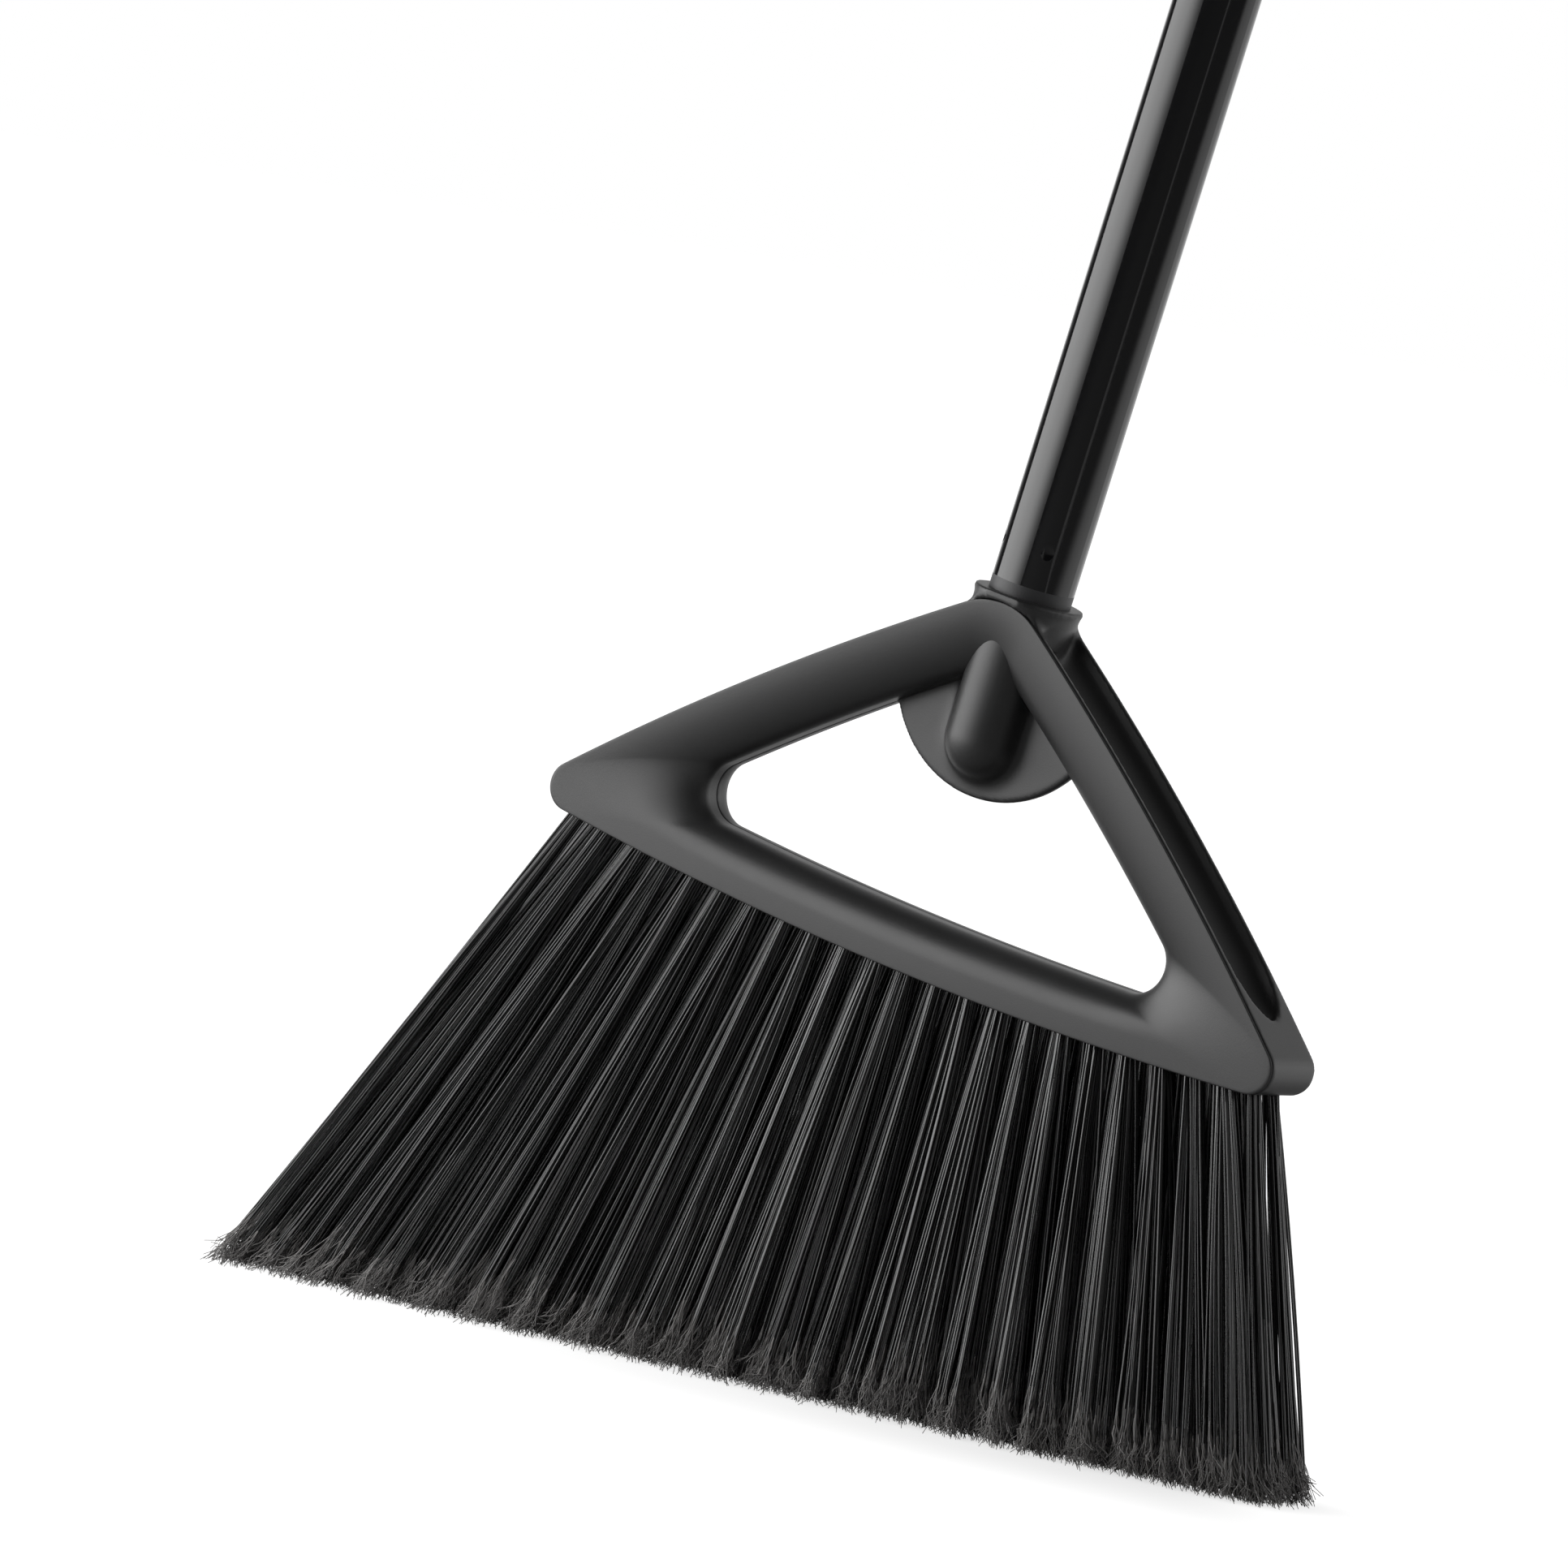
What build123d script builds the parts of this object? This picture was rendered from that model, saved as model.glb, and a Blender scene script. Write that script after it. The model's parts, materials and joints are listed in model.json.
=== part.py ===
# Angle broom: a triangular moulded head with fanned bristles, on a pole of four screwed tubes.
# Millimetres and degrees. The origin is where the pole's axis meets the floor, +Z is up, the head's front
# faces -Y, and the pole leans towards +X as it does when the trimmed bristle tips lie flat on the floor.
import os
from math import atan, cos, degrees, radians, sin, sqrt, tan

from build123d import *

os.makedirs("parts", exist_ok=True)

# Stance
lean = 9.5
stand_length = 218.0  # floor to the top of the head's collar, along the pole's axis

# Head, seen from the front
corner_reach = 125.0  # pole axis to each lower corner, before rounding
corner_drop = 95.0  # collar top down to those corners
base_bow = 6.8  # bow of the lower edge
arm_bow = 3.6  # outward bow of each arm
apex_rise = 1.6  # apex above the collar top, before rounding
apex_round = 20.0
corner_round = 6.6
rim_width = 16.8  # width of the arms and of the lower bar
hole_round = 6.9
hole_bullnose = 9.0  # rounding of the hole's edges, front and rear

# Head, in depth from the pole's axis
front_reach = 12.2
rear_reach = 11.4
cover_edge = 1.5  # thickness of the front cover at its outer edge
cover_lip = 6.0  # width of the cover's wall around the hole
edge_soft = 0.8
seam_bevel = 0.35
peg_radius = 1.5
peg_length = 6.0
bar_peg_spacing = 60.0
corner_peg_reach = 96.0
corner_peg_drop = 87.5

# Channel along the outer side of each arm
channel_lip = 3.4  # wall left between the seam and the channel
channel_rear_wall = 2.4
channel_depth = 7.0
channel_end = 101.0  # pole axis to the lower end of the channel

# Socket, collar and tongue plate
collar_radius = 14.5
collar_height = 4.2
boss_drop = 19.0  # collar top down to the foot of the tapered boss
boss_bite = 0.8  # how far that foot lies within the socket tube
boss_hollow = 1.0  # hollow of the boss's side
socket_radius = 10.4
socket_drop = 49.5
tongue_radius = 33.3
tongue_drop = 54.3
tongue_thickness = 2.8

# Bristles
row_count = 4
row_pitch = 4.6
front_row_tufts = 22
tuft_pitch = 9.95
tuft_slice = 4.0  # thickness of the slice of block that each row is fused to
slice_half_length = 108.0
fan_angle = 24.5  # lean of the outermost tufts from the pole's direction
depth_splay = 2.6  # tip spacing over root spacing, front to back
strand_side = 1.4
strand_root_depth = 2.0
root_offset = 1.3
tip_offset = 3.4
trim_depth = 0.5
anchor_length = 3.6
anchor_thickness = 0.4
anchor_height = 1.6

# Pole
tube_radius = 11.0
tube_wall = 0.8
lower_tube_length = 244.0
tube_length = 278.0
head_ring_height = 3.4
ring_height = 1.5
crimp_radius = 2.0
crimp_depth = 0.5
crimp_turn = 36.0  # first crimp, from the front towards +X
crimp_count = 4
head_crimp_height = 10.0
crimp_height = 57.0
crimp_cover = 9.0  # plug beyond the crimps

# Screw thread, right-handed
thread_pitch = 5.0
thread_turns = 3
thread_core = 6.7
thread_crest = 8.0
thread_lead = 2.5
nose_length = 5.5
thread_root_share = 0.55  # ridge width over pitch, at the core
thread_crest_share = 0.25
thread_sink = 0.6  # ridge foot below the core's surface
insert_length = 30.0
bore_spare = 4.0  # bore beyond the plug's nose

# Grips
foam_radius = 16.5
foam_length = 162.0
foam_height = 45.0  # above the joint below it
foam_edge = 2.0
grip_exposed = 201.0  # top tube left bare below the grip
grip_ring_radius = 13.6
grip_ring_height = 16.0
grip_radius = 12.8
grip_length = 75.0
grip_barrel = 0.5
cap_radius = 13.2
cap_height = 35.0
cap_spigot = 35.0
hang_hole_width = 10.0
hang_hole_height = 13.5
hang_hole_drop = 12.5  # cap top to the hole's centre
hang_hole_soft = 1.6

# Fits
snug_gap = 0.1  # between pieces of one rigid body
thread_gap = 0.3  # across the screw thread
ring_gap = 0.5  # between a ring and the neck it rides on
cut_margin = 10.0  # how far cutting tools stand clear of what they cut

# Places that follow from the sizes above
axis_dir = Vector(sin(radians(lean)), 0, cos(radians(lean)))
across_dir = Vector(cos(radians(lean)), 0, -sin(radians(lean)))
collar_top = axis_dir * stand_length
pole_axis = Axis(collar_top, axis_dir)
base_drop = corner_drop + base_bow
base_radius = (corner_reach**2 + base_bow**2) / (2 * base_bow)
seam_depth = -front_reach + cover_edge
tube_bore = tube_radius - tube_wall
plug_radius = tube_bore - snug_gap
engaged_length = thread_lead + thread_pitch * thread_turns
plug_reach = engaged_length + nose_length
half_row = tuft_pitch * (front_row_tufts - 1) / 2
block_half_depth = row_pitch * row_count / 2


def level(height):
    """Plane square to the pole, at a height above the collar's top."""
    return Plane(origin=collar_top + axis_dir * height, x_dir=across_dir, z_dir=axis_dir)


def upright(depth):
    """Plane of the head's face at a depth behind the pole's axis. Its y runs up the pole."""
    return Plane(origin=collar_top + Vector(0, depth, 0), x_dir=across_dir, z_dir=(0, -1, 0))


def place(across, depth, height):
    """Point given across the head, behind the axis and above the collar's top."""
    return collar_top + across_dir * across + Vector(0, depth, 0) + axis_dir * height


def base_height(across):
    """Height of the head's bowed lower edge."""
    return -base_drop + base_radius - sqrt(base_radius**2 - across**2)


# Head outline, hole and the ring that the two shells are parted from
def sharp_outline(growth=0.0):
    with BuildSketch() as outline:
        with BuildLine():
            SagittaArc((0, apex_rise), (corner_reach, -corner_drop), arm_bow)
            SagittaArc((corner_reach, -corner_drop), (-corner_reach, -corner_drop), base_bow)
            SagittaArc((-corner_reach, -corner_drop), (0, apex_rise), arm_bow)
        make_face()
        if growth:
            offset(amount=growth, kind=Kind.INTERSECTION)
    return outline.sketch


def head_outline(growth=0.0):
    with BuildSketch() as outline:
        add(sharp_outline(growth))
        fillet(outline.vertices().sort_by(Axis.Y)[-1], apex_round + growth)
        fillet(outline.vertices().group_by(Axis.Y)[0], corner_round + growth)
    return outline.sketch


def hole_outline(growth=0.0):
    with BuildSketch() as hole:
        add(sharp_outline(growth - rim_width))
        fillet(hole.vertices(), hole_round + growth)
    return hole.sketch


def base_band(half_length, low, high):
    """Band along the bowed lower edge, between two heights over it."""
    end = base_height(half_length)
    with BuildSketch() as band:
        with BuildLine():
            RadiusArc((half_length, end + low), (-half_length, end + low), base_radius)
            Line((-half_length, end + low), (-half_length, end + high))
            RadiusArc((-half_length, end + high), (half_length, end + high), -base_radius)
            Line((half_length, end + high), (half_length, end + low))
        make_face()
    return band.sketch


def ring_blank():
    with BuildPart() as blank:
        with BuildSketch(upright(rear_reach)):
            add(head_outline())
            add(hole_outline(), mode=Mode.SUBTRACT)
        extrude(amount=front_reach + rear_reach)
        front = blank.faces().sort_by(Axis.Y)[0]
        rear = blank.faces().sort_by(Axis.Y)[-1]
        fillet(front.inner_wires()[0].edges() + rear.inner_wires()[0].edges(), hole_bullnose)
    return blank.part


def cover_zone(gap):
    """Space of the front cover: a front layer and a wall around the hole as deep as the pole's axis."""
    with BuildPart() as zone:
        with BuildSketch(upright(seam_depth)):
            with Locations((0, -base_drop / 2)):
                Rectangle(2 * corner_reach + 2 * cut_margin, base_drop + 2 * cut_margin)
        extrude(amount=cover_edge + cut_margin)
        with BuildSketch(upright(0)):
            add(hole_outline(cover_lip + gap))
        extrude(amount=front_reach + cut_margin)
    return zone.part


def socket_capsule(gap):
    """The closed socket tube below the collar, grown by a gap."""
    radius = socket_radius + gap
    with BuildPart() as capsule:
        with BuildSketch(upright(0)):
            with BuildLine():
                Polyline((0, -socket_drop - gap), (0, -collar_height), (radius, -collar_height),
                         (radius, -socket_drop + socket_radius))
                RadiusArc((radius, -socket_drop + socket_radius), (0, -socket_drop - gap), radius)
            make_face()
        revolve(axis=pole_axis)
    return capsule.part


def peg_places():
    bar_height = -base_drop + (tuft_slice + rim_width - cover_lip) / 2
    bar = [(across, bar_height) for across in (-bar_peg_spacing, 0, bar_peg_spacing)]
    corners = [(side * corner_peg_reach, -corner_peg_drop) for side in (-1, 1)]
    return bar + corners


def thread_ridge(core, crest, widen, start, turns):
    """Helical ridge about +Z whose middle starts at a height on the XZ plane."""
    foot = thread_pitch * thread_root_share / 2 + widen
    top = thread_pitch * thread_crest_share / 2 + widen
    with BuildPart() as ridge:
        with BuildSketch(Plane.XZ) as section:
            with BuildLine():
                Polyline((core - thread_sink, start - foot), (crest, start - top), (crest, start + top),
                         (core - thread_sink, start + foot), close=True)
            make_face()
        path = Helix(pitch=thread_pitch, height=thread_pitch * turns, radius=core, center=(0, 0, start))
        sweep(section.sketch, path=Wire([path]), is_frenet=True)
    return ridge.part


def female_thread():
    """Cutter for a threaded bore whose mouth is at Z = 0."""
    core = thread_core + thread_gap
    depth = plug_reach + bore_spare
    turns_below = int(depth / thread_pitch) + 1
    start = -engaged_length - thread_pitch * (turns_below - thread_turns)
    with BuildPart() as cutter:
        with BuildSketch(Plane.XY.offset(-depth)):
            Circle(core)
        extrude(amount=depth + cut_margin)
        add(thread_ridge(core, thread_crest + thread_gap, thread_gap, start, turns_below + 2))
        split(bisect_by=Plane.XY.offset(-depth), keep=Keep.TOP)
    return cutter.part


# Front cover, with pegs that press into the body
with BuildPart() as head_front_cover:
    add(ring_blank())
    add(cover_zone(0), mode=Mode.INTERSECT)
    add(socket_capsule(snug_gap), mode=Mode.SUBTRACT)
    flat_faces = head_front_cover.faces().filter_by(Axis.Y)
    seam_face = flat_faces.sort_by(lambda face: abs(face.center().Y - seam_depth))[0]
    chamfer(seam_face.outer_wire().edges(), seam_bevel)
    front_face = head_front_cover.faces().filter_by(Axis.Y).sort_by(Axis.Y)[0]
    fillet(front_face.outer_wire().edges(), edge_soft)
    with BuildSketch(upright(seam_depth)):
        with Locations(*peg_places()):
            Circle(peg_radius)
    extrude(amount=-peg_length)
head_front_cover.part.label = "head_front_cover"
export_step(head_front_cover.part, "parts/head_front_cover.step")

# Channel cutter for one arm, round at its lower end
with BuildPart() as channel:
    channel_width = rear_reach - channel_rear_wall - seam_depth - channel_lip
    with BuildSketch(upright(rear_reach - channel_rear_wall)):
        add(sharp_outline(cut_margin))
        add(sharp_outline(-channel_depth), mode=Mode.SUBTRACT)
        with BuildSketch(mode=Mode.PRIVATE) as reach:
            arm_fall = atan((corner_drop + apex_rise) / corner_reach)
            start = (-channel_depth * sin(arm_fall), apex_rise - channel_depth * cos(arm_fall))
            with Locations(start):
                Rectangle(channel_end / cos(arm_fall), channel_depth + arm_bow + 2 * cut_margin,
                          rotation=-degrees(arm_fall), align=(Align.MIN, Align.MIN))
        add(reach.sketch, mode=Mode.INTERSECT)
    extrude(amount=channel_width)
    end_face = channel.faces().sort_by(Axis(collar_top, across_dir - axis_dir))[-1]
    fillet(end_face.edges().filter_by(Axis.Y, reverse=True), channel_width / 2 - snug_gap)

# Rear body: half the ring, the collar, the socket with its thread, the tongue plate and both channels
with BuildPart() as head_body:
    add(ring_blank())
    add(cover_zone(snug_gap), mode=Mode.SUBTRACT)
    seam_face = head_body.faces().filter_by(Axis.Y).sort_by(Axis.Y)[0]
    chamfer(seam_face.outer_wire().edges(), seam_bevel)
    rear_face = head_body.faces().filter_by(Axis.Y).sort_by(Axis.Y)[-1]
    fillet(rear_face.outer_wire().edges(), edge_soft)
    add(channel.part, mode=Mode.SUBTRACT)
    add(channel.part.mirror(Plane(origin=collar_top, z_dir=across_dir)), mode=Mode.SUBTRACT)
    with BuildSketch(upright(0)):
        with BuildLine():
            foot = socket_radius - boss_bite
            Polyline((foot, -boss_drop), (0, -boss_drop), (0, 0), (collar_radius, 0),
                     (collar_radius, -collar_height))
            SagittaArc((collar_radius, -collar_height), (foot, -boss_drop), -boss_hollow)
        make_face()
    revolve(axis=pole_axis)
    with BuildSketch(upright(seam_depth)):
        add(head_outline(snug_gap))
        with Locations((0, -boss_drop)):
            Rectangle(2 * corner_reach, 2 * boss_drop, align=(Align.CENTER, Align.MIN), mode=Mode.INTERSECT)
    extrude(amount=cut_margin, mode=Mode.SUBTRACT)
    with BuildSketch(upright(0)):
        add(hole_outline(cover_lip + snug_gap))
    extrude(amount=front_reach + cut_margin, mode=Mode.SUBTRACT)
    with BuildSketch(upright(rear_reach)):
        with Locations((0, -collar_height)):
            Rectangle(4 * collar_radius, 2 * boss_drop, align=(Align.CENTER, Align.MAX))
    extrude(amount=-cut_margin, mode=Mode.SUBTRACT)
    add(socket_capsule(0))
    with BuildSketch(upright(tongue_thickness + snug_gap)):
        with Locations((0, tongue_radius - tongue_drop)):
            Circle(tongue_radius)
        add(hole_outline(edge_soft), mode=Mode.INTERSECT)
    extrude(amount=tongue_thickness)
    with BuildSketch(upright(block_half_depth + snug_gap)):
        add(base_band(slice_half_length + snug_gap, -cut_margin, tuft_slice + snug_gap))
    extrude(amount=2 * (block_half_depth + snug_gap), mode=Mode.SUBTRACT)
    with BuildSketch(upright(seam_depth)):
        with Locations(*peg_places()):
            Circle(peg_radius + snug_gap)
    extrude(amount=-peg_length - snug_gap, mode=Mode.SUBTRACT)
    add(female_thread().moved(level(0).location), mode=Mode.SUBTRACT)
head_body.part.label = "head_body"
export_step(head_body.part, "parts/head_body.step")


# Bristles: tufts of five strands, fanned across and splayed in depth, trimmed flat on the floor
def tuft_places(row):
    count = front_row_tufts - row % 2
    return [tuft_pitch * (index - (count - 1) / 2) for index in range(count)]


def strand(across, depth, side_offset, depth_offset):
    """One strand from inside its slice to just below the floor."""
    turn = radians(fan_angle * across / half_row)
    slope = tan(radians(lean))
    root_height = base_height(across) + strand_root_depth
    length = (root_height + stand_length - across * slope) / (cos(turn) + sin(turn) * slope)
    root = place(across + side_offset * root_offset, depth + depth_offset * root_offset, root_height)
    tip = place(across + length * sin(turn) + side_offset * tip_offset,
                depth * depth_splay + depth_offset * tip_offset,
                root_height - length * cos(turn))
    run = tip - root
    with BuildPart() as stalk:
        with BuildSketch(Plane(origin=root, x_dir=(0, 1, 0), z_dir=run)):
            Rectangle(strand_side, strand_side)
        extrude(amount=run.length + trim_depth + strand_side)
    return stalk.part


def row_depth(row):
    return row_pitch * (row - (row_count - 1) / 2)


def anchor_foot(across):
    """Height of the lower edge of the wire anchor over a tuft."""
    return base_height(across) + tuft_slice - snug_gap - anchor_height


tuft_pattern = [(0, 0), (-1, -1), (1, -1), (-1, 1), (1, 1)]
for row in range(row_count):
    depth = row_depth(row)
    strands = [strand(across, depth, side_offset, depth_offset)
               for across in tuft_places(row) for side_offset, depth_offset in tuft_pattern]
    with BuildPart() as bristles:
        with BuildSketch(upright(depth + row_pitch / 2)):
            add(base_band(slice_half_length, 0, tuft_slice))
        extrude(amount=row_pitch)
        for across in tuft_places(row):
            with BuildSketch(level(anchor_foot(across) - snug_gap)):
                with Locations((across, depth)):
                    Rectangle(anchor_length + 2 * snug_gap, anchor_thickness + 2 * snug_gap)
            extrude(amount=anchor_height + cut_margin, mode=Mode.SUBTRACT)
        add(strands)
        split(bisect_by=Plane.XY, keep=Keep.TOP)
    bristles.part.label = f"bristle_row_{row + 1}"
    export_step(bristles.part, f"parts/bristle_row_{row + 1}.step")

with BuildPart() as tuft_anchors:
    for row in range(row_count):
        for across in tuft_places(row):
            with BuildSketch(level(anchor_foot(across))):
                with Locations((across, row_depth(row))):
                    Rectangle(anchor_length, anchor_thickness)
            extrude(amount=anchor_height)
tuft_anchors.part.label = "tuft_anchors"
export_step(tuft_anchors.part, "parts/tuft_anchors.step")

# Pole sections, from the head upwards
joint_height = 0.0
for section in ("lower", "second", "third", "top"):
    lowest = section == "lower"
    ring = head_ring_height if lowest else ring_height
    length = lower_tube_length if lowest else tube_length
    crimps = head_crimp_height if lowest else crimp_height
    foot = joint_height + ring
    top = foot + length

    with BuildPart() as joint_ring:
        with BuildSketch(level(joint_height)):
            Circle(tube_radius)
            Circle(thread_core + ring_gap, mode=Mode.SUBTRACT)
        extrude(amount=ring)
    joint_ring.part.label = f"{section}_joint_ring"
    export_step(joint_ring.part, f"parts/{section}_joint_ring.step")

    with BuildPart() as tube:
        with BuildSketch(level(foot)):
            Circle(tube_radius)
            Circle(tube_bore, mode=Mode.SUBTRACT)
        extrude(amount=length)
        dent_radius = (crimp_radius**2 + crimp_depth**2) / (2 * crimp_depth)
        with Locations(level(foot + crimps)):
            with PolarLocations(tube_radius - crimp_depth + dent_radius, crimp_count, crimp_turn - 90):
                Sphere(dent_radius, mode=Mode.SUBTRACT)
    tube.part.label = f"{section}_tube"
    export_step(tube.part, f"parts/{section}_tube.step")

    with BuildPart() as plug:
        with BuildSketch(level(foot)):
            Circle(plug_radius)
        extrude(amount=crimps + crimp_cover)
        with BuildSketch(level(foot)):
            Circle(thread_core)
        extrude(amount=-plug_reach - ring)
        chamfer(plug.edges().sort_by(Axis(collar_top, axis_dir))[0], thread_crest - thread_core)
        ridge = thread_ridge(thread_core, thread_crest, 0, -engaged_length, thread_turns)
        add(ridge.moved(level(joint_height).location))
    plug.part.label = f"{section}_plug"
    export_step(plug.part, f"parts/{section}_plug.step")

    if section != "top":
        with BuildPart() as insert:
            with BuildSketch(level(top - insert_length)):
                Circle(plug_radius)
            extrude(amount=insert_length)
            add(female_thread().moved(level(top).location), mode=Mode.SUBTRACT)
        insert.part.label = f"{section}_insert"
        export_step(insert.part, f"parts/{section}_insert.step")

    if section == "third":
        with BuildPart() as foam_grip:
            with BuildSketch(level(joint_height + foam_height)):
                Circle(foam_radius)
                Circle(tube_radius + snug_gap, mode=Mode.SUBTRACT)
            extrude(amount=foam_length)
            rims = foam_grip.edges().filter_by(GeomType.CIRCLE).group_by(SortBy.RADIUS)[-1]
            fillet(rims, foam_edge)
        foam_grip.part.label = "foam_grip"
        export_step(foam_grip.part, "parts/foam_grip.step")

    joint_height = top

# Hand grip on the top tube: lower ring, sleeve and domed hanging cap
grip_foot = joint_height - tube_length + grip_exposed
sleeve_foot = grip_foot + grip_ring_height
cap_foot = sleeve_foot + grip_length
cap_top = cap_foot + cap_height

with BuildPart() as grip_end_ring:
    with BuildSketch(level(grip_foot)):
        Circle(grip_ring_radius)
        Circle(tube_radius + snug_gap, mode=Mode.SUBTRACT)
    extrude(amount=grip_ring_height)
    rims = grip_end_ring.edges().filter_by(GeomType.CIRCLE).group_by(SortBy.RADIUS)[-1]
    fillet(rims, edge_soft)
grip_end_ring.part.label = "grip_end_ring"
export_step(grip_end_ring.part, "parts/grip_end_ring.step")

with BuildPart() as hand_grip:
    with BuildSketch(upright(0)):
        with BuildLine():
            bore = tube_radius + snug_gap
            Polyline((grip_radius, sleeve_foot), (bore, sleeve_foot),
                     (bore, cap_foot), (grip_radius, cap_foot))
            SagittaArc((grip_radius, cap_foot), (grip_radius, sleeve_foot), grip_barrel)
        make_face()
    revolve(axis=pole_axis)
    rims = hand_grip.edges().filter_by(lambda edge: edge.is_closed and edge.radius > bore)
    fillet(rims, edge_soft)
hand_grip.part.label = "hand_grip"
export_step(hand_grip.part, "parts/hand_grip.step")

with BuildPart() as hang_cap:
    with BuildSketch(upright(0)):
        with BuildLine():
            Polyline((0, cap_top), (0, cap_foot - cap_spigot), (plug_radius, cap_foot - cap_spigot),
                     (plug_radius, cap_foot), (cap_radius, cap_foot), (cap_radius, cap_top - cap_radius))
            RadiusArc((cap_radius, cap_top - cap_radius), (0, cap_top), -cap_radius)
        make_face()
    revolve(axis=pole_axis)
    with BuildSketch(upright(0)):
        with Locations((0, cap_top - hang_hole_drop)):
            SlotOverall(hang_hole_height, hang_hole_width, rotation=90)
    extrude(amount=2 * cap_radius, both=True, mode=Mode.SUBTRACT)
    mouth = hang_cap.edges(Select.LAST).filter_by(Axis.Y, reverse=True)
    fillet(mouth, hang_hole_soft)
hang_cap.part.label = "hang_cap"
export_step(hang_cap.part, "parts/hang_cap.step")
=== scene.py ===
"""Angle broom: head shells, bristles, foam sleeve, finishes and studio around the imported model.

Metres and radians. The head's own frame has X across the head, Y to its rear and Z up the pole,
with its origin at the top of the head's collar.
"""
import json
import math

import bmesh
import bpy
from bpy.props import FloatProperty, FloatVectorProperty, IntProperty, PointerProperty
from mathutils import Matrix, Vector, noise


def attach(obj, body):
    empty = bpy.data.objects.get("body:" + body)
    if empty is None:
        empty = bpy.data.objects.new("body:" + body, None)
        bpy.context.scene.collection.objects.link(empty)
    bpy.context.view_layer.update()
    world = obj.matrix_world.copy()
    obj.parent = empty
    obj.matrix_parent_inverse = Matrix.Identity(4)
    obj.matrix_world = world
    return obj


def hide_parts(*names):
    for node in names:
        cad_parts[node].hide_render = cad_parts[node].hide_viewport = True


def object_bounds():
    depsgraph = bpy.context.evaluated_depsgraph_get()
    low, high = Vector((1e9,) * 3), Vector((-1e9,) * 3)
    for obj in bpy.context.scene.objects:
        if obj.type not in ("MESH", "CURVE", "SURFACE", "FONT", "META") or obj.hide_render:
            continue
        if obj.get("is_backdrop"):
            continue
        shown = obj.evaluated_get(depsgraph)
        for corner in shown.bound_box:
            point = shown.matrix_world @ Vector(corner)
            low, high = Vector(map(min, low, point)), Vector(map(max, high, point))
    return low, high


bl_info = {
    "name": "Angle Broom",
    "version": (1, 0, 0),
    "blender": (4, 5, 0),
    "location": "View3D > Sidebar > Broom",
    "description": "Head shells, bristles, foam sleeve, finishes and studio for an angle broom",
    "category": "Object",
}

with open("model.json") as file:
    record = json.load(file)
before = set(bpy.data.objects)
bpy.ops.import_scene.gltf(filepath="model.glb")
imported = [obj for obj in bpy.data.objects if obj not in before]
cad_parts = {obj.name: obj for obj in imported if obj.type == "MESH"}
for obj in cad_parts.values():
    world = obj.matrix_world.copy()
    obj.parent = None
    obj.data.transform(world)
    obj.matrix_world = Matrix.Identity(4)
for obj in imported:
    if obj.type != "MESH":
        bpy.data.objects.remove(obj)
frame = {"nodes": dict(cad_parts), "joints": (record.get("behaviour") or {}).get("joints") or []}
cad_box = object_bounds()

# Places read from the frame
joints = {joint["name"]: joint for joint in frame["joints"]}
collar_top = Vector(joints["lower_unscrew"]["pos_m"])
up_pole = Vector(joints["lower_unscrew"]["axis"]).normalized()
lean = math.atan2(up_pole.x, up_pole.z)
floor_slope = math.tan(lean)  # rise of the floor along the head's X
stand_length = collar_top.length
head_frame = Matrix.Translation(collar_top) @ Matrix.Rotation(lean, 4, "Y")

# Outline of the head, as the solids have it but for the narrower bar and the hole's rounder corners
corner_reach = 0.125
corner_drop = 0.095
base_bow = 0.0068
arm_bow = 0.0036
apex_rise = 0.0016
apex_round = 0.020
corner_round = 0.0066
rim_width = 0.0168
bar_share = 0.896  # width of the bar over the width of an arm
hole_round = 0.0085
outline_steps = {"apex": 16, "arm": 76, "corner": 30, "base": 64}

# Front cover. Its seam lies further forward than the solids' and its lip is wider.
front_reach = 0.0122
rim_share = 0.3  # of the crown, by which the face's outer edge lies behind its front
peak_share = 0.15  # of the crown, by which the bar's crest stands over that edge
edge_share = 0.75  # depth of the rounding of the outer edge over its width
edge_steps = 5
face_steps = 44
ease_reach = 9  # neighbours on each side over which the face's depth is evened out
corner_lead = 0.15  # part of a corner's turn, at each end, that keeps to the arm or to the bar
crease_angle = math.radians(50)
hole_wall = -0.0034  # depth at which the front face has rolled into the hole
wall_loop = -0.0015  # depth of one more loop on the hole's wall
seam_depth = -0.0115
seam_land = 0.004  # inset of the first loop, on the cover's rear face
seam_bevel = 0.0001
cover_lip = 0.0123
fit_gap = 0.0001

# Rear body, with its channels nearer to the seam than the solids' are
rear_reach = 0.0114
rear_edge_round = 0.0016
hole_bullnose = 0.009
seam_gap = 0.0006
seam_edge_round = 0.0004
channel_lip = 0.0024
channel_rear_wall = 0.0024
channel_depth = 0.007
channel_end_depth = -0.0003  # of the tip of its rounded lower end
channel_edge_round = 0.0004
collar_radius = 0.0145
collar_height = 0.0042  # above the top of the socket
flange_height = 0.0016  # of the thin lip on top of the flared collar
flange_round = 0.0005
flange_blend = 0.0006
boss_drop = 0.019
boss_radius = 0.0108  # at its foot
flare_share = 0.95  # distance from the boss's flared side over the distance straight out to it
socket_radius = 0.0104
socket_drop = 0.0495
socket_blend = 0.0008
tongue_radius = 0.0333
tongue_drop = 0.0543
tongue_thickness = 0.0028
tongue_bite = 0.001  # reach of the tongue plate into the ring around the hole
tongue_edge_round = 0.0007
thread_core = 0.0070
thread_crest = 0.0083
thread_pitch = 0.005
bore_depth = 0.027
field_margin = 0.002  # room left around the body while it is meshed
field_fade = 0.004  # depth over which the body's density fades, on each side of its surface

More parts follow.
